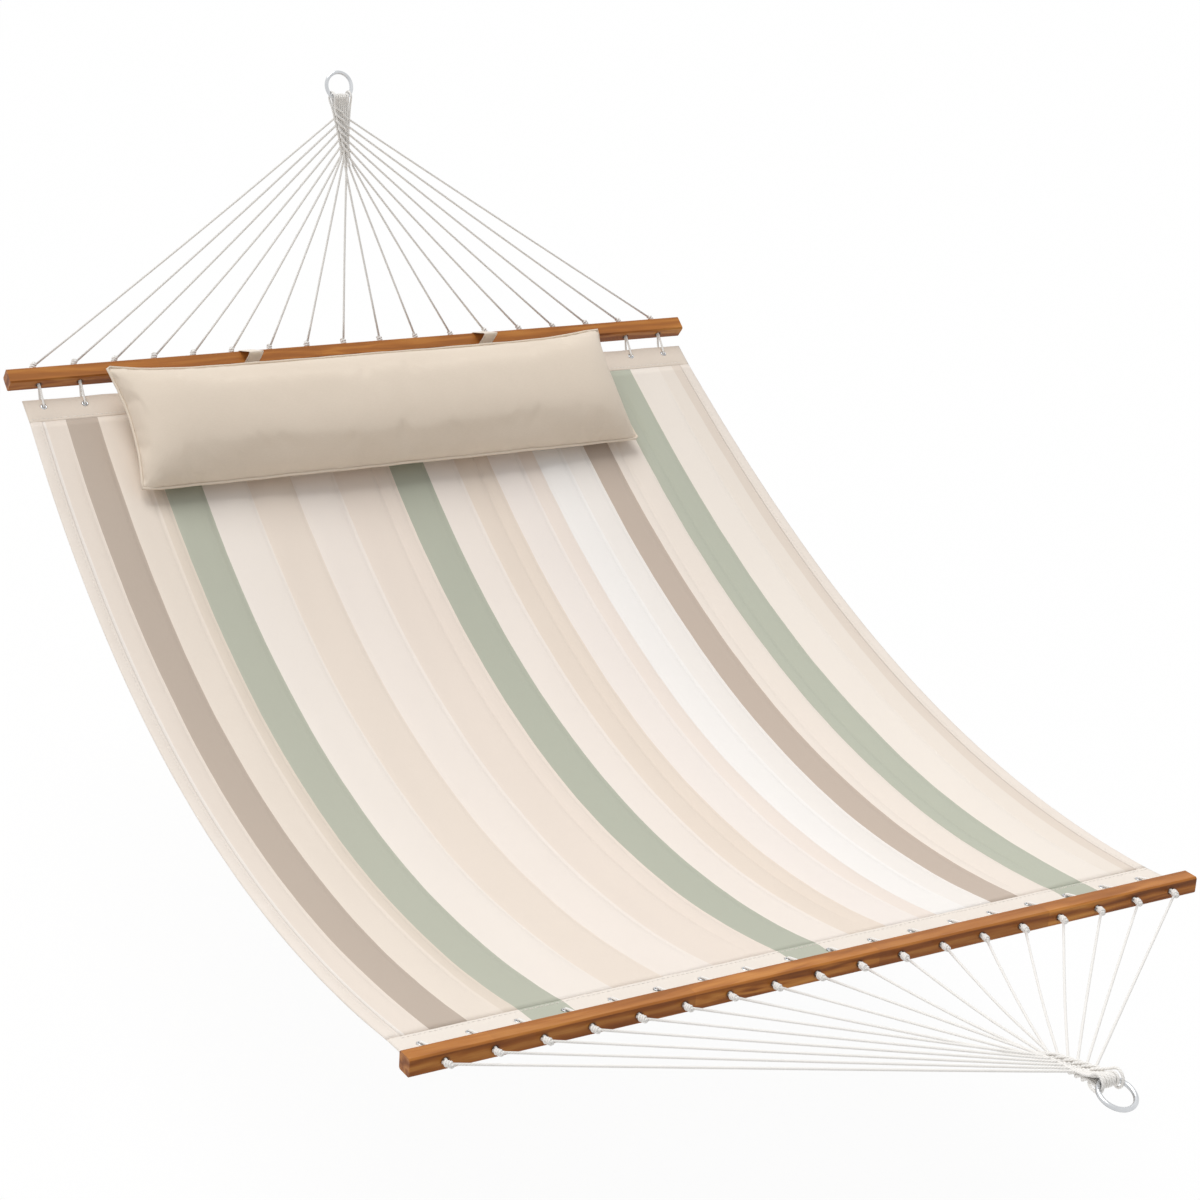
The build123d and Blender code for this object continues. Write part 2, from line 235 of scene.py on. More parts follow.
def plainCloth(name, light, dark):
    finish, start, shader = newFinish(name, Roughness=0.9, Sheen_Weight=0.15, Specular_IOR_Level=0.25)
    place = objectPlace(start)
    cloud = place.noise(7.0, 4.0, 0.6)
    flecks = place.stretched(0.3, 1, 1).noise(600.0, 2.0, 0.7)
    feed(shader, "Base Color", (cloud * 0.7 + flecks * 0.5 - 0.1).held().blend(dark, light))
    feed(shader, "Roughness", cloud * 0.1 + 0.84)
    feed(shader, "Normal", weave(start, threadSet))
    return finish


def twistedCord(name, light, dark):
    # map: x runs once round the cord, y is the length in metres
    finish, start, shader = newFinish(name, Roughness=0.85, Sheen_Weight=0.2, Specular_IOR_Level=0.3)
    place = ownMap(start)
    lay = (place.part(0) * (6 * math.pi) + place.part(1) * (2 * math.pi / 0.0042)).sine()
    fibre = place.stretched(6, 900, 1).noise(1.0, 2.0, 0.7)
    groove = (lay * 0.5 + 0.5).held()
    # painted shade: the base colour goes to the dark tone in the grooves between the twisted strands
    feed(shader, "Base Color", (groove * 0.7 + fibre * 0.4).held().blend(dark, light))
    feed(shader, "Roughness", fibre * 0.15 + 0.78)
    feed(shader, "Normal", bumpy(start, groove + fibre * 0.3, 0.6, 0.0004))
    return finish


def fibreFill(name):
    finish, start, shader = newFinish(name, Roughness=1.0, Specular_IOR_Level=0.1)
    place = objectPlace(start)
    tufts = place.noise(60.0, 6.0, 0.7)
    feed(shader, "Base Color", tufts.blend(paint(226, 222, 214), paint(250, 248, 244)))
    feed(shader, "Roughness", tufts * 0.1 + 0.9)
    feed(shader, "Normal", bumpy(start, tufts, 0.6, 0.002))
    return finish


woodSet = {
    "grainAcross": 260, "grainUp": 210, "grainWarp": 16,
    "tones": [
        (0.15, paint(92, 44, 8)), (0.38, paint(134, 74, 18)), (0.58, paint(164, 98, 32)),
        (0.85, paint(206, 142, 66)),
    ],
    "staves": 3.1, "staveShift": 7.3, "staveTint": 0.45, "staveColour": paint(118, 60, 16),
    "knotScale": 5.5, "knotShrink": 7.0, "knotColour": paint(66, 30, 8),
    "knotPlaces": [(0.44, (0, 0, 0, 1)), (0.52, (1, 1, 1, 1))],
    "rimFade": 1.9, "rimReach": 0.0045, "rimDark": 0.85, "rimColour": paint(52, 24, 8),
    # the last two set the painted highlight on faces that look up
    "paintedTopLightShare": 0.75, "paintedTopLightColour": paint(204, 134, 68),
}


def stainedWood(name, seed, axes, s):
    finish, start, shader = newFinish(name, Specular_IOR_Level=0.25)
    spot = objectPlace(start)
    place = spot.vector("ADD", seed)
    warp = place.stretched(1, 9, 9).noise(2.2, 3.0, 0.6, 1.2)
    rings = place.part(1) * s["grainAcross"] + place.part(2) * s["grainUp"] + warp * s["grainWarp"]
    grain = rings.sine() * 0.5 + 0.5
    fine = place.stretched(14, 400, 400).noise(1.0, 3.0, 0.7)
    cloud = place.stretched(3.5, 12, 12).noise(1.6, 3.0, 0.6)
    body = (grain * 0.35 + fine * 0.3 + cloud * 0.6 - 0.1).held()
    tone = body.ramp(s["tones"])
    # staves glued end to end differ in tone
    stave = place.part(0) * s["staves"] + s["staveShift"]
    stave = stave.sums("FLOOR", stave)
    tint = start.make("ShaderNodeTexWhiteNoise", {"noise_dimensions": "1D"}, {"W": stave})
    staved = (tint * s["staveTint"]).blend(tone, s["staveColour"])
    # knots: dark ovals, few and far between
    ovals = {"Vector": place.stretched(1, 2.2, 2.2), "Scale": s["knotScale"]}
    cells = start.make("ShaderNodeTexVoronoi", {}, ovals)
    knot = (1.0 - cells * s["knotShrink"]).held()
    rare = place.noise(2.3, 1.0).ramp(s["knotPlaces"])
    spotted = (knot * rare).held().blend(staved, s["knotColour"])
    # the wood is darker round and inside the drilled holes
    holes = spot.part(0) / hang["holePitch"] + 0.5
    away = (holes - holes.sums("ROUND", holes)) * hang["holePitch"]
    height = spot.vector("DOT_PRODUCT", axes[3], 1) - axes[0].dot(axes[3])
    squares = away * away + height * height
    reach = squares.sums("SQRT", squares)
    rim = (s["rimFade"] - reach / s["rimReach"]).held() * s["rimDark"]
    rimmed = rim.blend(spotted, s["rimColour"])
    # faces that look up get a painted highlight: their colour goes to a lighter tone, as where light from above
    # falls
    up = start.make("ShaderNodeNewGeometry", {}, {}, 1).part(2)
    feed(shader, "Base Color", ((up - 0.5) * s["paintedTopLightShare"]).held().blend(rimmed, s["paintedTopLightColour"]))
    feed(shader, "Roughness", body * -0.2 + 0.55)
    feed(shader, "Normal", bumpy(start, body + fine * 0.4, 0.35, 0.0006))
    return finish


def brightSteel(name):
    finish, start, shader = newFinish(name, Metallic=1.0, Base_Color=paint(205, 207, 210))
    place = objectPlace(start)
    drawn = place.noise(420.0, 3.0, 0.6)
    smear = place.noise(60.0, 2.0)
    feed(shader, "Roughness", smear * 0.18 + drawn * 0.08 + 0.12)
    feed(shader, "Base Color", smear.blend(paint(190, 192, 195), paint(222, 224, 226)))
    feed(shader, "Normal", bumpy(start, drawn, 0.12, 0.0003))
    return finish


hemStops = [(0.0, paint(240, 231, 221))]
for low, high in stripes["green"]:
    hemStops.append((low / stripes["width"], paint(187, 190, 174)))
    hemStops.append((high / stripes["width"], paint(240, 231, 221)))

finishes = {
    "stripedCloth": stripedCloth("stripedCloth", stripeStops(stripes)),
    "footHemCloth": stripedCloth("footHemCloth", hemStops),
    "hemCloth": plainCloth("hemCloth", paint(236, 224, 211), paint(222, 208, 193)),
    "sideHemCloth": plainCloth("sideHemCloth", paint(243, 234, 225), paint(231, 219, 207)),
    "backCloth": plainCloth("backCloth", paint(232, 222, 208), paint(214, 201, 184)),
    "pillowCloth": plainCloth("pillowCloth", paint(238, 224, 207), paint(222, 207, 189)),
    "pipingCloth": plainCloth("pipingCloth", paint(236, 223, 206), paint(222, 207, 189)),
    # the straps are of the pillow's cloth; this copy is painted lighter than the pillow's to make up for the
    # shade on the straps
    "strapClothPaintedLighter": plainCloth("strapClothPaintedLighter", paint(244, 233, 219), paint(230, 218, 203)),
    "wadding": fibreFill("wadding"),
    "pillowFibre": fibreFill("pillowFibre"),
    "cottonCord": twistedCord("cottonCord", paint(253, 251, 248), paint(228, 224, 218)),
    "thread": twistedCord("thread", paint(250, 245, 238), paint(228, 219, 208)),
    "steel": brightSteel("steel"),
    "eyeletMetal": brightSteel("eyeletMetal"),
}
print("finishes made:", len(finishes))


# Where the ends are, as in the part's source, metres
hang = {
    "barSpacing": 1.6989,
    "headFanLength": 0.5, "headFanAngle": 51.9,
    "footFanLength": 0.6155, "footFanAngle": 30.75,
    "headBarRoll": 18.2, "footBarRoll": 21.05,
    "barDepth": 0.030, "barHeight": 0.028, "barChamfer": 0.0025,
    "holeCount": 18, "holePitch": 0.076,
    "knotOffset": 0.010,
    "ringRadius": 0.0255, "rodRadius": 0.0035, "seatInset": 0.002,
}


def sideways(angle, length=1.0):
    return Vector((0, length * math.cos(math.radians(angle)), length * math.sin(math.radians(angle))))


def makeEnd(name, facing, ringCentre, barCentre, roll, ringAngle):
    turn = math.radians(facing * roll)
    barX = Vector((facing, 0, 0))
    barZ = Vector((0, -math.sin(turn), math.cos(turn)))
    barY = barZ.cross(barX)
    knotLine = barCentre + barY * (hang["barDepth"] / 2 + hang["knotOffset"])
    down = Vector((0, -facing * math.cos(math.radians(ringAngle)), -math.sin(math.radians(ringAngle))))
    pivot = ringCentre + down * (hang["ringRadius"] - hang["seatInset"])
    along = knotLine - pivot
    fanX = Vector((-facing, 0, 0))
    fanZ = fanX.cross(along).normalized()
    fanY = fanZ.cross(fanX)
    return {
        "name": name, "facing": facing, "ringCentre": ringCentre, "down": down, "pivot": pivot,
        "bar": (barCentre, barX, barY, barZ), "fan": (pivot, fanX, fanY, fanZ), "fanLength": along.length,
        "knotLine": knotLine,
    }


def placeIn(axes, p):
    origin, x, y, z = axes
    return origin + x * p[0] + y * p[1] + z * p[2]


headBar = -sideways(hang["headFanAngle"], hang["headFanLength"])
footDrop = hang["footFanLength"] * math.sin(math.radians(hang["footFanAngle"]))
barRise = -footDrop - headBar.z
footBar = Vector((0, headBar.y - math.sqrt(hang["barSpacing"] ** 2 - barRise ** 2), -footDrop))
footRing = footBar + sideways(180 - hang["footFanAngle"], hang["footFanLength"])
head = makeEnd("head", 1, Vector((0, 0, 0)), headBar, hang["headBarRoll"], hang["headFanAngle"])
foot = makeEnd("foot", -1, footRing, footBar, hang["footBarRoll"], 0.0)
holePlaces = [(i - (hang["holeCount"] - 1) / 2) * hang["holePitch"] for i in range(hang["holeCount"])]


finishes["headWood"] = stainedWood("headWood", (0.0, 0.31, 0.17), head["bar"], woodSet)
finishes["footWood"] = stainedWood("footWood", (3.7, 0.11, 0.43), foot["bar"], woodSet)


# Mesh helpers
def newObject(name, mesh, finish):
    piece = bpy.data.objects.new(name, mesh)
    scene.collection.objects.link(piece)
    mesh.materials.clear()
    mesh.materials.append(finishes[finish])
    return piece


def smoothMesh(name, points, faces, marks=None):
    # marks: one (x, y) of the own map for each corner of each face
    mesh = bpy.data.meshes.new(name)
    mesh.from_pydata([tuple(p) for p in points], [], faces)
    if marks:
        layer = mesh.uv_layers.new(name="map")
        flat = [value for face in marks for corner in face for value in corner]
        layer.data.foreach_set("uv", flat)
    mesh.shade_smooth()
    mesh.update()
    return mesh


def newPiece(name, finish, shape):
    return newObject(name, smoothMesh(name, *shape), finish)


def shellFaces(wide, high, mark):
    # faces and map of a thin shell: an upper and a lower grid of points, joined round the rim
    faces, marks = [], []
    layer = (wide + 1) * (high + 1)
    for j in range(high):
        for i in range(wide):
            a = j * (wide + 1) + i
            quad = (a, a + 1, a + wide + 2, a + wide + 1)
            uv = (mark(i, j), mark(i + 1, j), mark(i + 1, j + 1), mark(i, j + 1))
            faces += [quad, tuple(layer + k for k in reversed(quad))]
            marks += [uv, tuple(reversed(uv))]
    rim = [(i, 0) for i in range(wide)] + [(wide, j) for j in range(high)]
    rim += [(i, high) for i in range(wide, 0, -1)] + [(0, j) for j in range(high, 0, -1)]
    for (i, j), (k, m) in zip(rim, rim[1:] + rim[:1]):
        a, b = j * (wide + 1) + i, m * (wide + 1) + k
        faces.append((b, a, layer + a, layer + b))
        marks.append((mark(k, m), mark(i, j), mark(i, j), mark(k, m)))
    return faces, marks


def readRoute(points, resolution=8):
    # a cord's line: the smooth spline that has the route's points as its control points
    data = bpy.data.curves.new("route", "CURVE")
    data.dimensions = "3D"
    spline = data.splines.new("NURBS")
    spline.points.add(len(points) - 1)
    for target, p in zip(spline.points, points):
        target.co = (p[0], p[1], p[2], 1.0)
    spline.order_u = 3
    spline.use_endpoint_u = True
    spline.resolution_u = resolution
    holder = bpy.data.objects.new("route", data)
    scene.collection.objects.link(holder)
    mesh = bpy.data.meshes.new_from_object(holder)
    line = [v.co.copy() for v in mesh.vertices]
    bpy.data.objects.remove(holder)
    bpy.data.curves.remove(data)
    bpy.data.meshes.remove(mesh)
    kept = [line[0]]
    for p in line[1:]:
        if (p - kept[-1]).length > 1e-6:
            kept.append(p)
    return kept


def lineLength(line):
    return sum((b - a).length for a, b in zip(line, line[1:]))


def tubeAlong(line, radius, sides, closed=False):
    # points, faces and map of a round tube on a line; the map is in turns and metres
    points, faces, marks = [], [], []
    count = len(line)
    tangents = []
    for i in range(count):
        before = line[i - 1] if i or closed else line[0]
        after = line[(i + 1) % count] if i < count - 1 or closed else line[-1]
        tangents.append((after - before).normalized())
    side = tangents[0].orthogonal().normalized()
    run = 0.0
    runs = []
    for i in range(count):
        side = (side - tangents[i] * side.dot(tangents[i])).normalized()
        other = tangents[i].cross(side)
        for k in range(sides):
            angle = 2 * math.pi * k / sides
            points.append(line[i] + (side * math.cos(angle) + other * math.sin(angle)) * radius)
        runs.append(run)
        if i < count - 1:
            run += (line[i + 1] - line[i]).length
    steps = count if closed else count - 1
    for i in range(steps):
        j = (i + 1) % count
        ahead = runs[j] if j else run + (line[0] - line[-1]).length
        for k in range(sides):
            m = (k + 1) % sides
            faces.append((i * sides + k, i * sides + m, j * sides + m, j * sides + k))
            left, right = k / sides, (k + 1) / sides
            marks.append(((left, runs[i]), (right, runs[i]), (right, ahead), (left, ahead)))
    if not closed:
        faces.append(tuple(reversed(range(sides))))
        faces.append(tuple((count - 1) * sides + k for k in range(sides)))
        marks.append(tuple((k / sides, 0.0) for k in range(sides)))
        marks.append(tuple((k / sides, run) for k in range(sides)))
    return points, faces, marks


def joinShapes(name, shapes):
    points, faces, marks = [], [], []
    for p, f, m in shapes:
        base = len(points)
        points += p
        faces += [tuple(base + i for i in face) for face in f]
        marks += m
    return smoothMesh(name, points, faces, marks)


def finishPiece(piece, body, slot, *nodes):
    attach(piece, body)
    if nodes:
        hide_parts(*nodes)


# Repeats: one shape set on many points by geometry nodes
def repeatTree(name):
    tree = bpy.data.node_groups.new(name, "GeometryNodeTree")
    sockets = {
        "Geometry": "Geometry", "Shape": "Object", "Size": "Float", "Unevenness": "Float",
        "Seed": "Int", "Finish": "Material",
    }
    for label, kind in sockets.items():
        tree.interface.new_socket(label, in_out="INPUT", socket_type="NodeSocket" + kind)
    tree.interface.new_socket("Geometry", in_out="OUTPUT", socket_type="NodeSocketGeometry")
    start = Wire(tree)
    given = tree.nodes.new("NodeGroupInput")
    entry = {s.name: Wire(tree, s) for s in given.outputs}
    shape = start.make("GeometryNodeObjectInfo", {}, {"Object": entry["Shape"]}, 4)
    turn = start.make("GeometryNodeInputNamedAttribute", {"data_type": "FLOAT_VECTOR"}, {"Name": "turn"})
    rotation = start.make("FunctionNodeEulerToRotation", {}, {0: turn})
    limits = {2: -1.0, 3: 1.0, "Seed": entry["Seed"]}
    spread = start.make("FunctionNodeRandomValue", {"data_type": "FLOAT"}, limits, 1)
    scale = entry["Size"] * (1.0 + spread * entry["Unevenness"])
    links = {"Points": entry["Geometry"], "Instance": shape, "Rotation": rotation, "Scale": scale}
    placed = start.make("GeometryNodeInstanceOnPoints", {}, links)
    real = start.make("GeometryNodeRealizeInstances", {}, {"Geometry": placed})
    shown = start.make("GeometryNodeSetMaterial", {}, {"Geometry": real, "Material": entry["Finish"]})
    end = tree.nodes.new("NodeGroupOutput")
    tree.links.new(shown.socket, end.inputs[0])
    return tree


repeats = repeatTree("repeatOnPoints")


def repeatShape(name, shape, places, finish, unevenness=0.0, seed=1):
    # places: (point, x axis, z axis) of each copy; returns a plain mesh object
    mesh = bpy.data.meshes.new(name)
    mesh.from_pydata([tuple(p) for p, _, _ in places], [], [])
    turns = mesh.attributes.new("turn", "FLOAT_VECTOR", "POINT")
    for i, (_, x, z) in enumerate(places):
        x = x.normalized()
        z = (z - x * z.dot(x)).normalized()
        y = z.cross(x)
        turns.data[i].vector = Matrix((x, y, z)).transposed().to_euler()
    holder = bpy.data.objects.new(name + "Points", mesh)
    scene.collection.objects.link(holder)
    pattern = bpy.data.objects.new(name + "Shape", shape)
    modifier = holder.modifiers.new("repeat", "NODES")
    modifier.node_group = repeats
    values = {"Shape": pattern, "Size": 1.0, "Unevenness": unevenness, "Seed": seed}
    values["Finish"] = finishes[finish]
    for item in repeats.interface.items_tree:
        if item.in_out == "INPUT" and item.name in values:
            modifier[item.identifier] = values[item.name]
    ready = holder.evaluated_get(bpy.context.evaluated_depsgraph_get())
    made = bpy.data.meshes.new_from_object(ready)
    made.name = name
    made.shade_smooth()
    holder.modifiers.remove(modifier)
    bpy.data.objects.remove(holder)
    bpy.data.objects.remove(pattern)
    return newObject(name, made, finish)


# Cords of the two harnesses: each is doubled over the ring, plaited and run to two holes
cordSet = {
    "radius": 0.002, "strands": 9, "pitch": 0.0042, "layer": 0.00215, "topLayer": 0.0068, "loopSteps": 6,
    "dip": 0.018, "firstExit": 0.016, "exitStep": 0.0146, "rise": 0.006, "tail": 0.025, "flat": 3,
    "clearance": 0.0004, "sides": 10, "intoKnot": 0.0055, "sag": 0.008,
}


def loopRadius(s, x):
    reach = 0.0
    axis = hang["ringRadius"] - hang["seatInset"]
    for step in range(-6, 7):
        across = s["radius"] * step / 6
        side = abs(x) + across
        outer = math.sqrt((hang["ringRadius"] + hang["rodRadius"]) ** 2 - side ** 2)
        inner = math.sqrt((hang["ringRadius"] - hang["rodRadius"]) ** 2 - side ** 2)
        thick = math.sqrt(s["radius"] ** 2 - across ** 2)
        reach = max(reach, abs(outer - axis) + thick, abs(axis - inner) + thick)
    return (reach + s["clearance"]) / math.cos(math.pi / s["loopSteps"] / 2)


def strandHalf(s, order, fanLength):
    startX = (order - (s["strands"] - 1) / 2) * s["pitch"]
    last = s["strands"] - s["flat"] - 1
    exitDepth = s["firstExit"] + min(order, last + 1) * s["exitStep"]
    slope = s["pitch"] / 2 / s["exitStep"]

    def layerPoint(depth, height):
        return Vector((startX - slope * (depth - s["firstExit"]), depth, height))

    points = [Vector((startX, 0, loopRadius(s, startX)))]
    if order > 0:
        points.append(layerPoint(s["dip"], s["layer"]))
    if 0 < order <= last:
        points.append(layerPoint(exitDepth - s["rise"], s["layer"]))
    leave = layerPoint(exitDepth, s["topLayer"] if order <= last else s["layer"])
    hole = hang["holeCount"] - 1 - order if order <= last else hang["holeCount"] // 2 + order - last - 1
    knot = Vector((holePlaces[hole], fanLength, 0))
    run = (knot - leave).normalized()
    return points + [leave, leave + run * s["tail"], knot - run * s["intoKnot"]]


def cordRoute(s, number, fanLength):
    front = [Vector((-p.x, p.y, p.z)) for p in strandHalf(s, number, fanLength)]
    back = [Vector((p.x, p.y, -p.z)) for p in strandHalf(s, s["strands"] - 1 - number, fanLength)]
    radius = loopRadius(s, front[0].x)
    turn = []
    for step in range(1, s["loopSteps"]):
        angle = math.pi * step / s["loopSteps"]
        turn.append(Vector((front[0].x, -radius * math.sin(angle), -radius * math.cos(angle))))
    return list(reversed(back)) + turn + front


def makeHarness(end, s):
    body = end["name"] + "_harness"
    for number in range(s["strands"]):
        route = [placeIn(end["fan"], p) for p in cordRoute(s, number, end["fanLength"])]
        # the back leg sags at its middle, the front leg drops just past the mat
        drop = Vector((0, 0, s["sag"]))
        route.insert(1, (route[0] + route[1]) / 2 - drop)
        route.insert(-1, (route[-2] + route[-3]) / 2 - drop)
        line = readRoute(route)
        name = f"{end['name']}_cord_{number + 1}"
        cord = newPiece(name, "cottonCord", tubeAlong(line, s["radius"], s["sides"]))
        finishPiece(cord, body, "cotton_cord", end["name"] + "_clew", end["name"] + "_harness_cords")
        tuple(line[0])
        round(lineLength(line), 4)
        [tuple(p) for p in line]


for end in (head, foot):
    makeHarness(end, cordSet)
print("harness cords made")


# Knots outside the bars: three turns of the cord round itself
knotSet = {
    "radius": 0.002, "wrap": 0.0035, "turns": 3, "rise": 0.0041, "steps": 14, "sides": 8, "unevenness": 0.07,
    "endRun": 0.0012, "endLift": 0.001, "core": (-0.0105, -0.003, 0.003, 0.0085), "coreRadius": 0.0026,
    "towardsRing": 0.65, "offBar": 0.6, "twist": 2.4,
}


def knotShape(s):
    line = [Vector((-s["rise"] * s["turns"] / 2 - s["endRun"], 0, s["endLift"]))]
    total = s["turns"] * s["steps"]
    for i in range(total + 1):
        angle = 2 * math.pi * i / s["steps"]
        x = s["rise"] * (i / s["steps"] - s["turns"] / 2)
        line.append(Vector((x, s["wrap"] * math.cos(angle), s["wrap"] * math.sin(angle))))
    line.append(Vector((s["rise"] * s["turns"] / 2 + s["endRun"], 0, -s["endLift"])))
    core = tubeAlong([Vector((x, 0.0, 0.0)) for x in s["core"]], s["coreRadius"], s["sides"])
    return joinShapes("knotShape", [tubeAlong(line, s["radius"], s["sides"]), core])


def makeKnots(end, s):
    places = []
    for i, x in enumerate(holePlaces):
        point = placeIn(end["bar"], (x, hang["barDepth"] / 2 + hang["knotOffset"], 0))
        way = (end["pivot"] - point).normalized() * s["towardsRing"] + end["bar"][2] * s["offBar"]
        places.append((point, way, end["bar"][3] + end["bar"][1] * math.sin(i * s["twist"])))
    name = end["name"] + "_cord_knots"
    knots = repeatShape(name, knotShape(s), places, "cottonCord", s["unevenness"], 3)
    finishPiece(knots, "bed", "cotton_cord", end["name"] + "_knots")


for end in (head, foot):
    makeKnots(end, knotSet)
print("knots made")


# Rings
ringSet = {"steps": 96, "sides": 20}


def makeRing(end, s):
    across = Vector((1, 0, 0))
    line = []
    for i in range(s["steps"]):
        angle = 2 * math.pi * i / s["steps"]
        out = across * math.cos(angle) + end["down"] * math.sin(angle)
        line.append(end["ringCentre"] + out * hang["ringRadius"])
    rod = tubeAlong(line, hang["rodRadius"], s["sides"], closed=True)
    ring = newPiece(end["name"] + "_ring_steel", "steel", rod)
    finishPiece(ring, end["name"] + "_ring_body", "ring_steel", end["name"] + "_ring")


for end in (head, foot):
    makeRing(end, ringSet)
print("rings made")


# Bed: the part's own curves, metres
bedSet = {
    "gapFoot": 0.032, "gapHead": 0.0299, "hemDepth": 0.051, "sideHem": 0.022, "shift": 0.006,
    "footDrop": 0.0057, "headDrop": 0.0133, "sag": 0.1638, "skew": 0.142, "half": 0.682, "widening": 0.0235,
    "crossSag": 0.055, "leastSag": 0.0008, "top": 0.0008, "wadding": 0.0032, "back": 0.0008,
    "plyGap": 0.00015, "seamDepth": 0.0016, "seamWidth": 0.0022, "puff": 0.0010, "puffReach": 0.02,
    "wrinkle": 0.0030, "gather": 0.0016, "gatherReach": 0.07, "gatherStart": 0.012, "edgeFade": 0.02,
}
bedThickness = bedSet["top"] + bedSet["wadding"] + bedSet["back"] + 2 * bedSet["plyGap"]
chordWay = (headBar - footBar).normalized()
chordUp = Vector((1, 0, 0)).cross(chordWay)
footHemLine = bedSet["gapFoot"] + bedSet["hemDepth"]
headHemLine = hang["barSpacing"] - bedSet["gapHead"] - bedSet["hemDepth"]


def edgePoint(along):
    share = along / hang["barSpacing"]
    drop = bedSet["footDrop"] * (1 - share) + bedSet["headDrop"] * share
    sag = 4 * bedSet["sag"] * share * (1 - share) * (1 - bedSet["skew"] * (2 * share - 1))
    return footBar + chordWay * along - chordUp * (drop + sag)


def bedAxes(along):
    back = (edgePoint(along - 0.001) - edgePoint(along + 0.001)).normalized()
    x = Vector((1, 0, 0))
    return edgePoint(along) + x * bedSet["shift"], x, back.cross(x), back


def halfWidth(along):
    share = along / hang["barSpacing"]
    return bedSet["half"] + bedSet["widening"] * 4 * share * (1 - share)


def sagAt(x, along):
    share = (along - footHemLine) / (headHemLine - footHemLine)
    sag = bedSet["leastSag"] + (bedSet["crossSag"] - bedSet["leastSag"]) * 4 * share * (1 - share)
    return -sag * (1 - (x / halfWidth(along)) ** 2)


def clothRelief(x, along):
    # sewn seams lie low, the wadding lifts the cloth between them, long soft wrinkles run over all
    share = (along - footHemLine) / (headHemLine - footHemLine)
    fade = min(1.0, 12 * share * (1 - share))
    place = (x / halfWidth(along) + 1) / 2 * stripes["width"] * mm
    nearest = min(abs(place - seam * mm) for seam in stripes["seams"])
    groove = -bedSet["seamDepth"] * math.exp(-((nearest / bedSet["seamWidth"]) ** 2))
    lift = bedSet["puff"] * min(1.0, nearest / bedSet["puffReach"])
    wave = noise.noise(Vector((place * 9, along * 1.6, 1.7)))
    wave += 0.5 * noise.noise(Vector((place * 22, along * 4.5, 9.1)))
    near = min(along - footHemLine, headHemLine - along)
    fold = noise.noise(Vector((place * 34, along * 3.0, 5.5)))
    gather = fold * math.exp(-near / bedSet["gatherReach"]) * min(1.0, near / bedSet["gatherStart"])
    free = halfWidth(along) - bedSet["sideHem"] - abs(x)
    edge = max(0.0, min(1.0, free / bedSet["edgeFade"]))
    return ((groove + lift + wave * bedSet["wrinkle"]) * fade + gather * bedSet["gather"]) * edge


def clothColumns(spacing):
    # shares of the width, with three columns on every sewn seam so that its groove is crisp
    width = stripes["width"]
    wanted = set()
    for seam in stripes["seams"]:
        wanted.update((seam - 2.6, seam, seam + 2.6))
    marks = sorted([0.0] + [w for w in wanted if 24 < w < width - 24] + [width])
    columns = []
    for low, high in zip(marks, marks[1:]):
        parts = max(1, round((high - low) / spacing))
        columns += [(low + (high - low) * k / parts) / width for k in range(parts)]
    return columns + [1.0]


def columnPlace(share, along):
    half = halfWidth(along)
    inner = half - bedSet["sideHem"]
    return max(-inner, min(inner, (2 * share - 1) * half))


def bedPoint(x, along, depth):
    origin, ex, up, _ = bedAxes(along)
    return origin + ex * x + up * (sagAt(x, along) - depth + clothRelief(x, along))


def plyMesh(name, depth, thickness, spacing, lengthways):
    points = []
    edge = (bedSet["sideHem"] + 0.0002) / (2 * bedSet["half"])
    columns = [c for c in clothColumns(spacing) if edge < c < 1 - edge]
    columns = [0.0] + columns + [1.0]
    across = len(columns) - 1
    for level in (depth, depth + thickness):
        for j in range(lengthways + 1):
            along = footHemLine + (headHemLine - footHemLine) * j / lengthways
            points += [bedPoint(columnPlace(share, along), along, level) for share in columns]

    def mark(i, j):
        along = footHemLine + (headHemLine - footHemLine) * j / lengthways
        x = columnPlace(columns[i], along)
        return ((x / halfWidth(along) + 1) / 2 * stripes["width"] * mm, along)

    faces, marks = shellFaces(across, lengthways, mark)
    return smoothMesh(name, points, faces, marks)


def makeBed():
    waddingDepth = bedSet["top"] + bedSet["plyGap"]
    backDepth = waddingDepth + bedSet["wadding"] + bedSet["plyGap"]
    top = newObject("striped_top", plyMesh("striped_top", 0, bedSet["top"], 7.0, 110), "stripedCloth")
    finishPiece(top, "bed", "striped_cloth", "bed_top_cloth")
    back = newObject("plain_back", plyMesh("plain_back", backDepth, bedSet["back"], 16.0, 60), "backCloth")
    finishPiece(back, "bed", "back_cloth", "bed_back_cloth")
    mesh = plyMesh("quilt_wadding", waddingDepth, bedSet["wadding"], 16.0, 60)
    wadding = newObject("quilt_wadding", mesh, "wadding")
    finishPiece(wadding, "bed", "wadding", "bed_wadding")


makeBed()
print("bed plies made")


# Folded hems along the sides
sideHemSet = {
    "bulge": 0.0007, "steps": 140, "across": 8, "stitchLine": 0.25, "groove": 0.0006, "grooveWidth": 0.07,
    "roundFrom": 0.88, "edgeShare": 0.35, "ripple": 0.0004, "mapLength": 1.62, "mapStep": 0.0027,
}


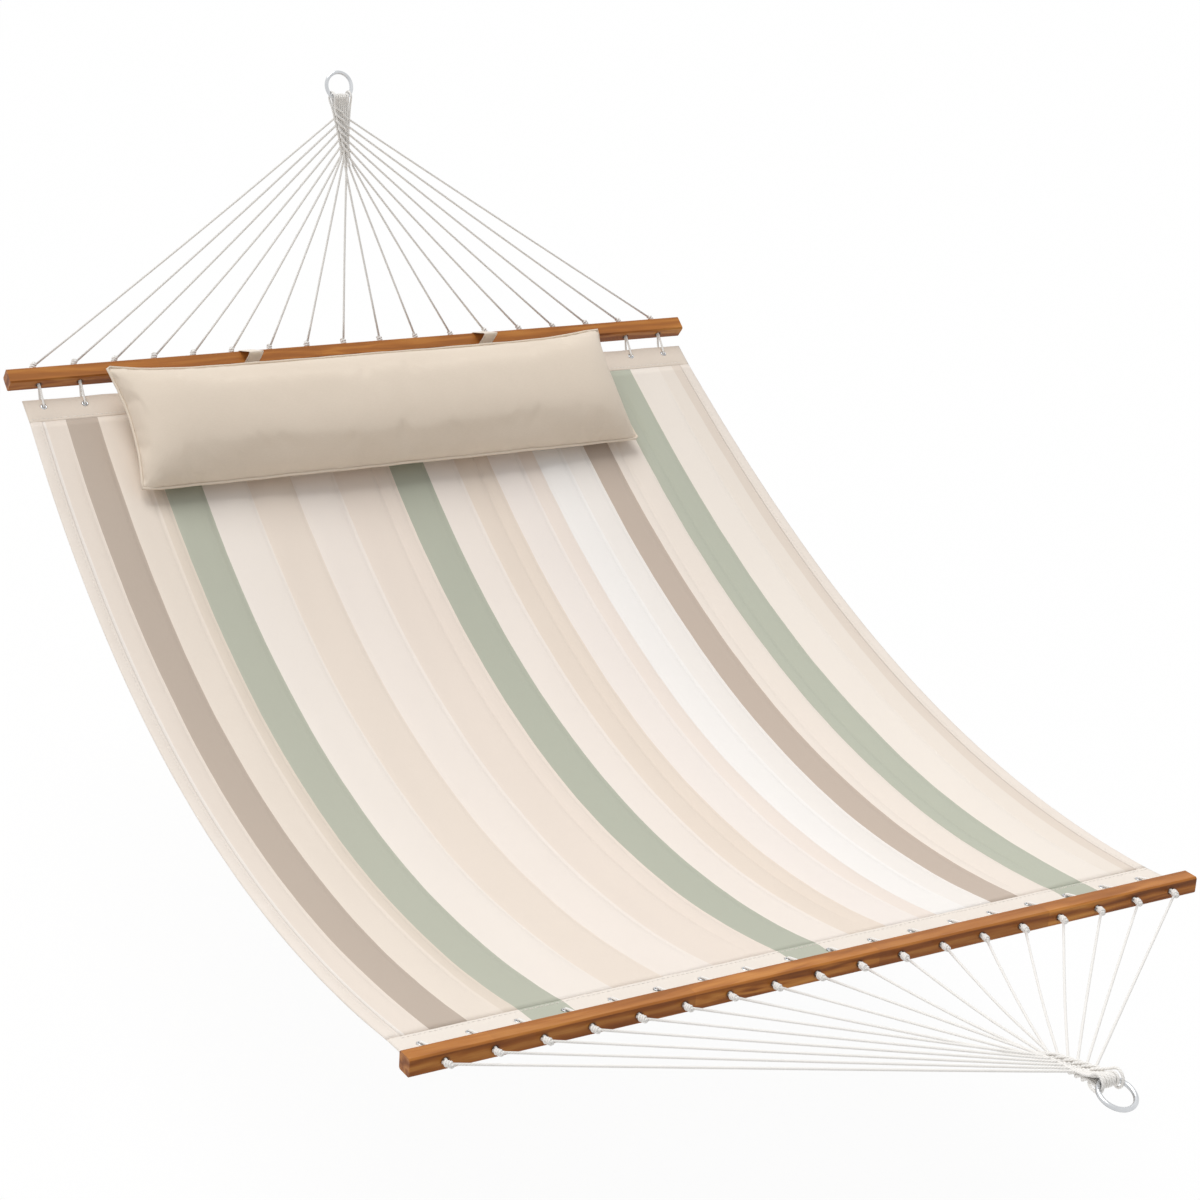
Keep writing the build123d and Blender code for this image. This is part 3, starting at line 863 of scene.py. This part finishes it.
def sideHemSection(along, side, s):
    # closed outline of the fold, in the bed's section plane: inner top, round the outer fold, inner bottom
    outer = halfWidth(along)
    inner = outer - bedSet["sideHem"] + 0.00015
    low = sagAt(inner, along)
    outline = []
    for face in (1, -1):
        for k in range(s["across"] + 1):
            share = k / s["across"] if face > 0 else 1 - k / s["across"]
            x = inner + (outer - inner) * share
            height = low * (1 - share) - bedThickness / 2
            past = max(0.0, (share - s["roundFrom"]) / (1 - s["roundFrom"]))
            rounded = math.sqrt(max(0.0, 1 - past ** 2))
            thick = bedThickness / 2 * (s["edgeShare"] + (1 - s["edgeShare"]) * rounded)
            thick += s["bulge"] * math.sin(math.pi * share)
            thick -= s["groove"] * math.exp(-(((share - s["stitchLine"]) / s["grooveWidth"]) ** 2))
            thick += s["ripple"] * noise.noise(Vector((along * 14, share * 2, side * 3.1)))
            outline.append((side * x, height + face * thick, share))
    return outline


def makeSideHem(side, s):
    points, faces, marks = [], [], []
    count = 2 * (s["across"] + 1)
    for j in range(s["steps"] + 1):
        along = footHemLine + (headHemLine - footHemLine) * j / s["steps"]
        origin, ex, up, _ = bedAxes(along)
        for x, y, _ in sideHemSection(along, side, s):
            points.append(origin + ex * x + up * y)
    for j in range(s["steps"]):
        low, high = (step / s["steps"] * s["mapLength"] for step in (j, j + 1))
        for k in range(count):
            m = (k + 1) % count
            quad = (j * count + k, j * count + m, (j + 1) * count + m, (j + 1) * count + k)
            first, second = k * s["mapStep"], (k + 1) * s["mapStep"]
            uv = ((first, low), (second, low), (second, high), (first, high))
            faces.append(quad if side < 0 else tuple(reversed(quad)))
            marks.append(uv if side < 0 else tuple(reversed(uv)))
    last = s["steps"] * count
    caps = [tuple(range(count)), tuple(last + k for k in reversed(range(count)))]
    for cap in caps:
        faces.append(tuple(reversed(cap)) if side < 0 else cap)
        marks.append(tuple((0.0, 0.0) for _ in cap))
    word = "left" if side < 0 else "right"
    name = word + "_edge_fold"
    hem = newObject(name, smoothMesh(name, points, faces, marks), "sideHemCloth")
    finishPiece(hem, "bed", "hem_cloth", word + "_side_hem")


for side in (-1, 1):
    makeSideHem(side, sideHemSet)
print("side hems made")


# End hems with their row of eyelets
endHemSet = {
    "across": 280, "deep": 16, "edgeRound": 0.004, "ripple": 0.0005, "stitchLine": 0.007, "cut": 0.0056,
    "groove": 0.0007, "grooveWidth": 0.0018, "edgeShare": 0.3, "wave": 0.0009, "cutSides": 20, "cutDepth": 0.02,
}
eyeletSet = {"inset": 0.018, "radius": 0.006, "bore": 0.0032, "flange": 0.0007, "steps": 20}


def hemAxes(end):
    along = headHemLine if end is head else footHemLine
    origin, _, up, back = bedAxes(along)
    out = -back * end["facing"]
    middle = origin + out * (bedSet["hemDepth"] / 2) - up * (bedThickness / 2)
    x = Vector((end["facing"], 0, 0))
    return middle, x, up.cross(x), up


def eyeletPlaces(end):
    y = bedSet["hemDepth"] / 2 - eyeletSet["inset"]
    return [(x - end["facing"] * bedSet["shift"], y) for x in holePlaces]


def hemThickness(x, y, half, deep, s):
    inside = min(half - abs(x), deep - abs(y))
    rounded = math.sqrt(max(0.0, 1 - (1 - min(1.0, inside / s["edgeRound"])) ** 2))
    ripple = s["ripple"] * noise.noise(Vector((x * 28, y * 20, 4.2)))
    stitched = math.exp(-(((y + deep - s["stitchLine"]) / s["grooveWidth"]) ** 2))
    full = bedThickness / 2 * (s["edgeShare"] + (1 - s["edgeShare"]) * rounded)
    return full + (ripple - s["groove"] * stitched) * rounded


def hemWave(x, y, deep, s):
    return s["wave"] * math.sin(x * 41 + 2 * math.sin(x * 13)) * (0.5 + y / deep / 2)


def makeEndHem(end, s):
    axes = hemAxes(end)
    half = halfWidth(headHemLine if end is head else footHemLine)
    deep = bedSet["hemDepth"] / 2
    points = []
    columns = [half * (2 * i / s["across"] - 1) for i in range(s["across"] + 1)]
    rows = [deep * math.sin(math.pi / 2 * (2 * j / s["deep"] - 1)) for j in range(s["deep"] + 1)]
    for face in (1, -1):
        for y in rows:
            for x in columns:
                height = face * hemThickness(x, y, half, deep, s) + hemWave(x, y, deep, s)
                points.append(placeIn(axes, (x, y, height)))

    def mark(i, j):
        return ((end["facing"] * columns[i] / half + 1) / 2 * stripes["width"] * mm, rows[j] + 0.03)

    faces, marks = shellFaces(s["across"], s["deep"], mark)
    name = end["name"] + "_hem_band"
    finish = "hemCloth" if end is head else "footHemCloth"
    hem = newPiece(name, finish, (points, faces, marks))
    punchHoles(hem, axes, eyeletPlaces(end), s)
    finishPiece(hem, "bed", "hem_cloth", end["name"] + "_hem")


def punchHoles(piece, axes, places, s):
    punch = bmesh.new()
    turn = Matrix([[axes[1][r], axes[2][r], axes[3][r], 0] for r in range(3)] + [[0, 0, 0, 1]])
    for x, y in places:
        matrix = Matrix.Translation(placeIn(axes, (x, y, 0))) @ turn
        bmesh.ops.create_cone(
            punch, cap_ends=True, segments=s["cutSides"], radius1=s["cut"], radius2=s["cut"],
            depth=s["cutDepth"], matrix=matrix,
        )
    mesh = bpy.data.meshes.new("punch")
    punch.to_mesh(mesh)
    punch.free()
    cutter = bpy.data.objects.new("punch", mesh)
    scene.collection.objects.link(cutter)
    modifier = piece.modifiers.new("holes", "BOOLEAN")
    modifier.operation = "DIFFERENCE"
    modifier.solver = "EXACT"
    modifier.object = cutter
    ready = piece.evaluated_get(bpy.context.evaluated_depsgraph_get())
    made = bpy.data.meshes.new_from_object(ready)
    piece.modifiers.remove(modifier)
    piece.data = made
    bpy.data.objects.remove(cutter)


def eyeletShape(s):
    tall = bedThickness / 2 + s["flange"]
    flange = s["flange"]
    upper = [
        (s["bore"], tall - 0.0006), (s["bore"] + 0.0005, tall), (s["radius"] - 0.0012, tall + 0.0001),
        (s["radius"], tall - flange * 0.7), (s["radius"] - 0.0004, tall - flange),
        (s["radius"] - 0.0012, tall - flange - 0.0003),
    ]
    profile = upper + [(r, -z) for r, z in reversed(upper)]
    points, faces, marks = [], [], []
    count = len(profile)
    for i in range(s["steps"]):
        angle = 2 * math.pi * i / s["steps"]
        for r, z in profile:
            points.append(Vector((r * math.cos(angle), r * math.sin(angle), z)))
    for i in range(s["steps"]):
        j = (i + 1) % s["steps"]
        for k in range(count):
            m = (k + 1) % count
            faces.append((i * count + k, i * count + m, j * count + m, j * count + k))
            marks.append(tuple((0.0, 0.0) for _ in range(4)))
    return smoothMesh("eyeletShape", points, faces, marks)


def makeEyelets(end, s):
    axes = hemAxes(end)
    places = [(placeIn(axes, (x, y, 0)), axes[1], axes[3]) for x, y in eyeletPlaces(end)]
    eyelets = repeatShape(end["name"] + "_eyelet_row", eyeletShape(s), places, "eyeletMetal")
    finishPiece(eyelets, "bed", "eyelet_metal", end["name"] + "_eyelets")


for end in (head, foot):
    makeEndHem(end, endHemSet)
    makeEyelets(end, eyeletSet)
print("end hems and eyelets made")


# Lacing: each loop runs through its hole in the bar and its eyelet
lacingSet = {
    "radius": 0.002, "legOffset": 0.0023, "mouth": 0.003, "clearance": 0.0005, "sides": 10, "shortOf": 0.0065,
    "resolution": 5,
}


def makeLacing(end, s):
    bar, hem = end["bar"], hemAxes(end)
    eyeletY = bedSet["hemDepth"] / 2 - eyeletSet["inset"]
    above = bedThickness / 2 + eyeletSet["flange"] + s["radius"] + s["clearance"]
    face = hang["barDepth"] / 2 + hang["knotOffset"] - s["shortOf"]
    inside = -hang["barDepth"] / 2 + s["mouth"]
    mouth = -hang["barDepth"] / 2 - s["mouth"]
    edge = bedSet["hemDepth"] / 2 + s["radius"]
    r = s["radius"]
    loops = []
    for x in holePlaces:
        hx = x - end["facing"] * bedSet["shift"]
        upper = [placeIn(bar, (x, y, s["legOffset"])) for y in (face, inside, mouth)]
        through = [(eyeletY + r, above), (eyeletY, above - r), (eyeletY, r - above), (eyeletY + r, -above)]
        turn = [placeIn(hem, (hx, y, z)) for y, z in through + [(edge, -above)]]
        lower = [placeIn(bar, (x, y, -s["legOffset"])) for y in (mouth, inside, face)]
        loops.append(tubeAlong(readRoute(upper + turn + lower, s["resolution"]), r, s["sides"]))
    name = end["name"] + "_lacing_loops"
    lacing = newObject(name, joinShapes(name, loops), "cottonCord")
    finishPiece(lacing, "bed", "cotton_cord", end["name"] + "_lacing")


for end in (head, foot):
    makeLacing(end, lacingSet)
print("lacing made")


# Spreader bars keep their solids and get the wood
for end in (head, foot):
    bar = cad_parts[end["name"] + "_spreader_bar"]
    bar.data.materials.clear()
    bar.data.materials.append(finishes[end["name"] + "Wood"])
print("bars stained")


# Pillow
pillowSet = {
    "length": 1.010, "depth": 0.247, "crown": 0.062, "underside": 0.040, "endRun": 0.110, "draw": 0.015,
    "shift": -0.027, "tilt": 24.0, "seamBack": 0.0392, "seamRise": 0.0379,
    "wide": 170, "deep": 44, "fill": 0.8, "cap": 0.0035, "frames": 14, "barDraw": 0.016,
}
pipingSet = {"radius": 0.0024, "sides": 10, "corner": 0.006, "sideSteps": 40, "endSteps": 24}
clothSet = {
    "quality": 4, "mass": 0.25, "tension_stiffness": 12, "compression_stiffness": 12, "bending_stiffness": 0.4,
    "use_pressure": True, "uniform_pressure_force": 4.0, "pin_stiffness": 1.0, "shrink_min": -0.012,
}


def pillowAxes(s):
    way = sideways(s["tilt"])
    seam = headBar + Vector((s["shift"], -s["seamBack"], s["seamRise"]))
    x = Vector((1, 0, 0))
    return seam - way * (s["depth"] / 2), x, way, x.cross(way)


def arcHeight(share, half, rise):
    radius = (half ** 2 + rise ** 2) / (2 * rise)
    return math.sqrt(max(0.0, radius ** 2 - (half * share) ** 2)) - (radius - rise)


def pillowHeight(s, along, across, crown, skin):
    # along and across run from -1 to 1 between the seams
    top = arcHeight(across, s["depth"] / 2, crown - skin)
    if crown == s["crown"]:  # the upper side is fuller near its seams
        top = (crown - skin) * (1 - abs(across) ** 2.3) ** 0.62
    left = (1 - abs(along)) * s["length"] / 2
    if left < s["endRun"]:
        share = left / s["endRun"]
        top *= math.sqrt(max(0.0, 1 - (1 - share) ** 2)) ** 0.9
    return top


def barDrawAt(s, along):
    # the seam beside the bar is drawn in between the two corners
    return s["barDraw"] * (1 - abs(along) ** 7)


def pillowForm(s, margin, skin, wide, deep):
    # two quilted faces that share the seam's points
    points, faces, marks, seam = [], [], [], []
    index = {}
    axes = pillowAxes(s)
    for face in (1, -1):
        for j in range(deep + 1):
            across = math.sin(math.pi / 2 * (2 * j / deep - 1))
            for i in range(wide + 1):
                along = 2 * i / wide - 1
                along = along * (1.5 - 0.5 * along * along)
                onSeam = i in (0, wide) or j in (0, deep)
                if onSeam and face < 0:
                    index[face, i, j] = index[1, i, j]
                    continue
                length = s["length"] / 2 - margin - s["draw"] * (1 - across ** 2) * abs(along) ** 3
                crown = s["crown"] if face > 0 else s["underside"]
                height = face * pillowHeight(s, along, across, crown, skin)
                if onSeam:
                    height = 0.0
                index[face, i, j] = len(points)
                if onSeam:
                    seam.append(len(points))
                deepHere = across * (s["depth"] / 2 - margin) - barDrawAt(s, along) * max(0.0, across) ** 2
                points.append(placeIn(axes, (along * length, deepHere, height)))
    for face in (1, -1):
        for j in range(deep):
            for i in range(wide):
                quad = [(i, j), (i + 1, j), (i + 1, j + 1), (i, j + 1)]
                if face < 0:
                    quad.reverse()
                faces.append(tuple(index[face, a, b] for a, b in quad))
                marks.append(tuple((a / wide * s["length"], b / deep * s["depth"]) for a, b in quad))
    return points, faces, marks, seam


def swell(piece, seam, s):
    # the cover's two panels are cut a little large and filled, held at the seam
    start = [v.co.copy() for v in piece.data.vertices]
    held = piece.vertex_groups.new(name="seam")
    held.add(seam, 1.0, "REPLACE")
    cloth = piece.modifiers.new("cloth", "CLOTH")
    for name, value in clothSet.items():
        setattr(cloth.settings, name, value)
    cloth.settings.vertex_group_mass = held.name
    cloth.settings.effector_weights.gravity = 0.0
    cloth.point_cache.frame_end = s["frames"]
    for number in range(1, s["frames"] + 1):
        scene.frame_set(number)
    ready = piece.evaluated_get(bpy.context.evaluated_depsgraph_get())
    moved = [v.co.copy() for v in ready.data.vertices]
    piece.modifiers.remove(cloth)
    scene.frame_set(1)
    for v, old, new in zip(piece.data.vertices, start, moved):
        step = new - old
        if step.length > s["cap"]:
            step *= s["cap"] / step.length
        v.co = old + step
    piece.data.update()


def pucker(piece, s):
    # short gathers that run in from the seam, and a few long dents over the crown
    axes = pillowAxes(s)
    normals = [v.normal.copy() for v in piece.data.vertices]
    for v, normal in zip(piece.data.vertices, normals):
        local = v.co - axes[0]
        x, y = local.dot(axes[1]), local.dot(axes[2])
        edge = min(s["depth"] / 2 - abs(y), s["length"] / 2 - abs(x))
        near = math.exp(-max(0.0, edge) / 0.016) * min(1.0, max(0.0, edge) / 0.004)
        run = x if s["depth"] / 2 - abs(y) < s["length"] / 2 - abs(x) else y
        gather = noise.noise(Vector((run * 75, (1 if y > 0 else -1) * 3.0, 0.5)))
        dent = noise.noise(Vector((x * 7, y * 13, local.dot(axes[3]) * 9)))
        v.co += normal * (gather * 0.0013 * near + dent * 0.0010 * min(1.0, max(0.0, edge) / 0.03))
    piece.data.update()


def makePillow(s):
    *shape, seam = pillowForm(s, 0.0, 0.003, s["wide"], s["deep"])
    cover = newPiece("pillow_case", "pillowCloth", shape)
    swell(cover, seam, s)
    pucker(cover, s)
    finer = cover.modifiers.new("finer", "SUBSURF")
    finer.levels = 1
    finer.render_levels = 1
    finishPiece(cover, "pillow", "pillow_cloth", "pillow_cover")
    *shape, _ = pillowForm(s, 0.016, 0.014, 60, 24)
    inner = newPiece("pillow_stuffing", "pillowFibre", shape)
    finishPiece(inner, "pillow", "pillow_fill", "pillow_fill")


def makePiping(s, p):
    axes = pillowAxes(s)
    reach = p["radius"] * 0.75
    half, depth = s["length"] / 2 + reach, s["depth"] / 2 + reach
    line = []
    for way in (1, -1):  # the long side at the bar, then the one over the bed, each with the end after it
        for k in range(p["sideSteps"]):
            share = way * (2 * k / p["sideSteps"] - 1)
            y = depth - barDrawAt(s, share) if way > 0 else -depth
            line.append((share * (half - p["corner"]), y))
        for k in range(p["endSteps"]):
            y = depth - p["corner"] * 0.6 - (2 * depth - 1.2 * p["corner"]) * k / (p["endSteps"] - 1)
            line.append((way * (half - s["draw"] * (1 - (y / (s["depth"] / 2)) ** 2)), way * y))
    placed = []
    for i, (x, y) in enumerate(line):
        wobble = 0.0006 * math.sin(i * 1.9) + 0.0005 * math.sin(i * 0.7)
        placed.append(placeIn(axes, (x, y, wobble)))
    cord = tubeAlong(placed, p["radius"], p["sides"], closed=True)
    piping = newPiece("pillow_seam_piping", "pipingCloth", cord)
    finishPiece(piping, "pillow", "piping_cloth", "pillow_piping")


makePillow(pillowSet)
makePiping(pillowSet, pipingSet)
print("pillow made")


# Pillow straps round the head bar
strapSet = {
    "width": 0.028, "thickness": 0.0015, "offset": 0.244, "clearance": 0.0004, "nose": 0.0009,
    "swingGap": 0.0004, "tab": 0.0064, "columns": 6, "steps": 90, "turns": 24, "mapStep": 0.0017,
}


def hullOf(points):
    points = sorted(set(points))
    halves = []
    for run in (points, list(reversed(points))):
        chain = []
        for p in run:
            while len(chain) > 1:
                (ax, ay), (bx, by) = chain[-2], chain[-1]
                if (bx - ax) * (p[1] - ay) - (by - ay) * (p[0] - ax) > 0:
                    break
                chain.pop()
            chain.append(p)
        halves += chain[:-1]
    return halves


def strapOutline(s):
    # the taut line round the bar and the pillow's tab, half way through the strap
    axes = pillowAxes(pillowSet)
    seam = headBar + Vector((0, -pillowSet["seamBack"], pillowSet["seamRise"]))
    reach = s["tab"] + s["swingGap"] + s["nose"] + s["thickness"]
    nose = seam + axes[2] * reach - headBar
    ny, nz = nose.dot(head["bar"][2]), nose.dot(head["bar"][3])
    y, z = (hang[side] / 2 + s["clearance"] for side in ("barDepth", "barHeight"))
    c = hang["barChamfer"]
    signs = [(i, j) for i in (1, -1) for j in (1, -1)]
    corners = [(i * (y - c), j * z) for i, j in signs] + [(i * y, j * (z - c)) for i, j in signs]
    half, tip = s["thickness"] / 2, s["nose"] + s["thickness"] / 2
    around = []
    for k in range(s["turns"]):
        cos, sin = math.cos(2 * math.pi * k / s["turns"]), math.sin(2 * math.pi * k / s["turns"])
        around += [(a + cos * half, b + sin * half) for a, b in corners]
        around.append((ny + cos * tip, nz + sin * tip))
    return hullOf([(round(a, 7), round(b, 7)) for a, b in around])


def evenly(outline, count):
    closed = [Vector((a, b, 0)) for a, b in outline]
    closed.append(closed[0])
    total = lineLength(closed)
    found, run, k = [], 0.0, 0
    for i in range(count):
        want = total * i / count
        while run + (closed[k + 1] - closed[k]).length < want:
            run += (closed[k + 1] - closed[k]).length
            k += 1
        step = closed[k + 1] - closed[k]
        found.append(closed[k] + step * ((want - run) / step.length))
    return found


def makeStrap(side, s):
    ring = evenly(strapOutline(s), s["steps"])
    count, wide = len(ring), s["columns"]
    points, faces, marks = [], [], []
    for layer in (1, -1):
        for c in range(wide + 1):
            across = c / wide * 2 - 1
            for i in range(count):
                way = (ring[(i + 1) % count] - ring[i - 1]).normalized()
                out = Vector((way.y, -way.x, 0))
                lift = layer * s["thickness"] / 2 * math.sqrt(1 - 0.75 * across ** 6)
                spot = ring[i] + out * lift
                x = side * s["offset"] + across * s["width"] / 2 + 0.0004 * math.sin(i * 0.31)
                points.append(placeIn(head["bar"], (x, spot.x, spot.y)))
    total = count * (wide + 1)

    def at(layer, c, i):
        return layer * total + c * count + i % count

    for i in range(count):
        for c in range(wide):
            corners = ((c, i), (c, i + 1), (c + 1, i + 1), (c + 1, i))
            uv = tuple((a / wide * s["width"], b * s["mapStep"]) for a, b in corners)
            faces.append((at(0, c, i), at(0, c, i + 1), at(0, c + 1, i + 1), at(0, c + 1, i)))
            faces.append((at(1, c, i), at(1, c + 1, i), at(1, c + 1, i + 1), at(1, c, i + 1)))
            marks += [uv, uv]
        faces.append((at(0, 0, i), at(1, 0, i), at(1, 0, i + 1), at(0, 0, i + 1)))
        faces.append((at(0, wide, i), at(0, wide, i + 1), at(1, wide, i + 1), at(1, wide, i)))
        marks += [((0, 0),) * 4, ((0, 0),) * 4]
    word = "left" if side < 0 else "right"
    name = word + "_strap_band"
    mesh = smoothMesh(name, points, faces, marks)
    turned = bmesh.new()
    turned.from_mesh(mesh)
    bmesh.ops.recalc_face_normals(turned, faces=turned.faces)
    turned.to_mesh(mesh)
    turned.free()
    # the strap's cloth is painted lighter to make up for the shade it sits in
    strap = newObject(name, mesh, "strapClothPaintedLighter")
    finishPiece(strap, "bed", "pillow_cloth", word + "_pillow_strap")


for side in (-1, 1):
    makeStrap(side, strapSet)
print("straps made")


# Sewing thread: rows of short stitches
stitchSet = {
    "length": 0.0062, "pitch": 0.0084, "radius": 0.0006, "sides": 5, "unevenness": 0.12, "margin": 0.008,
}


def stitchShape(s):
    half = s["length"] / 2
    line = [Vector((-half, 0, -s["radius"] * 1.4)), Vector((-half * 0.6, 0, 0)), Vector((half * 0.6, 0, 0))]
    line.append(Vector((half, 0, -s["radius"] * 1.4)))
    return joinShapes("stitchShape", [tubeAlong(line, s["radius"], s["sides"])])


def makeStitches(s):
    rows = []
    for end in (head, foot):  # along the inner side of each end hem
        axes = hemAxes(end)
        half = halfWidth(headHemLine if end is head else footHemLine)
        deep = bedSet["hemDepth"] / 2
        y = -deep + endHemSet["stitchLine"]
        count = int(2 * (half - s["margin"]) / s["pitch"])
        for i in range(count):
            x = -half + s["margin"] + i * s["pitch"]
            height = hemThickness(x, y, half, deep, endHemSet) + hemWave(x, y, deep, endHemSet)
            height += s["radius"] * 0.5
            rows.append((placeIn(axes, (x, y, height)), axes[1], axes[3]))
    for side in (-1, 1):  # along the folds of the long edges
        count = int((headHemLine - footHemLine) / s["pitch"])
        for i in range(count):
            along = footHemLine + (i + 0.5) * s["pitch"]
            origin, ex, up, back = bedAxes(along)
            outline = sideHemSection(along, side, sideHemSet)
            x, y, _ = outline[2]
            rows.append((origin + ex * x + up * (y + s["radius"] * 0.5), back, up))
    stitches = repeatShape("hem_stitches", stitchShape(s), rows, "thread", s["unevenness"], 7)
    finishPiece(stitches, "bed", "hem_cloth")
    print("stitches:", len(rows))


makeStitches(stitchSet)


# Floor and light
stageSet = {
    "floorHeight": -1.15, "floorSize": 40.0, "sky": 0.52, "sunPower": 1.85, "sunAngle": 40.0,
    "sunFrom": (-0.25, 0.55, 1.0), "showThrough": 0.95,
}


def makeStage(s):
    size, height = s["floorSize"] / 2, s["floorHeight"]
    corners = [(-size, -size, height), (size, -size, height), (size, size, height), (-size, size, height)]
    mesh = bpy.data.meshes.new("floor")
    mesh.from_pydata(corners, [], [(0, 1, 2, 3)])
    floor = bpy.data.objects.new("floor", mesh)
    scene.collection.objects.link(floor)
    finish, start, shader = newFinish("floorPaint", Base_Color=(0.93, 0.93, 0.93, 1), Roughness=0.95)
    output = finish.node_tree.nodes["Material Output"]
    light = start.make("ShaderNodeEmission", {}, {"Color": (1, 1, 1, 1), "Strength": 1.0})
    seen = start.make("ShaderNodeLightPath", {}, {})
    painted = Wire(start.tree, shader.outputs[0])
    mixed = start.make("ShaderNodeMixShader", {}, {0: seen * s["showThrough"], 1: painted, 2: light})
    start.tree.links.new(mixed.socket, output.inputs["Surface"])
    mesh.materials.append(finish)
    world = bpy.data.worlds.new("room")
    scene.world = world
    world.use_nodes = True
    nodes = world.node_tree.nodes
    path = nodes.new("ShaderNodeLightPath")
    shown = Wire(world.node_tree, path.outputs["Is Camera Ray"])
    for label in ("Is Glossy Ray", "Is Transmission Ray"):
        shown = shown + Wire(world.node_tree, path.outputs[label])
    strength = s["sky"] + shown.held() * (1.0 - s["sky"])
    background = nodes["Background"]
    background.inputs["Color"].default_value = (1, 1, 1, 1)
    world.node_tree.links.new(strength.socket, background.inputs["Strength"])
    data = bpy.data.lights.new("softSun", "SUN")
    data.energy = s["sunPower"]
    data.angle = math.radians(s["sunAngle"])
    sun = bpy.data.objects.new("softSun", data)
    scene.collection.objects.link(sun)
    sun.rotation_euler = Vector(s["sunFrom"]).to_track_quat("Z", "Y").to_euler()


makeStage(stageSet)
print("stage set")
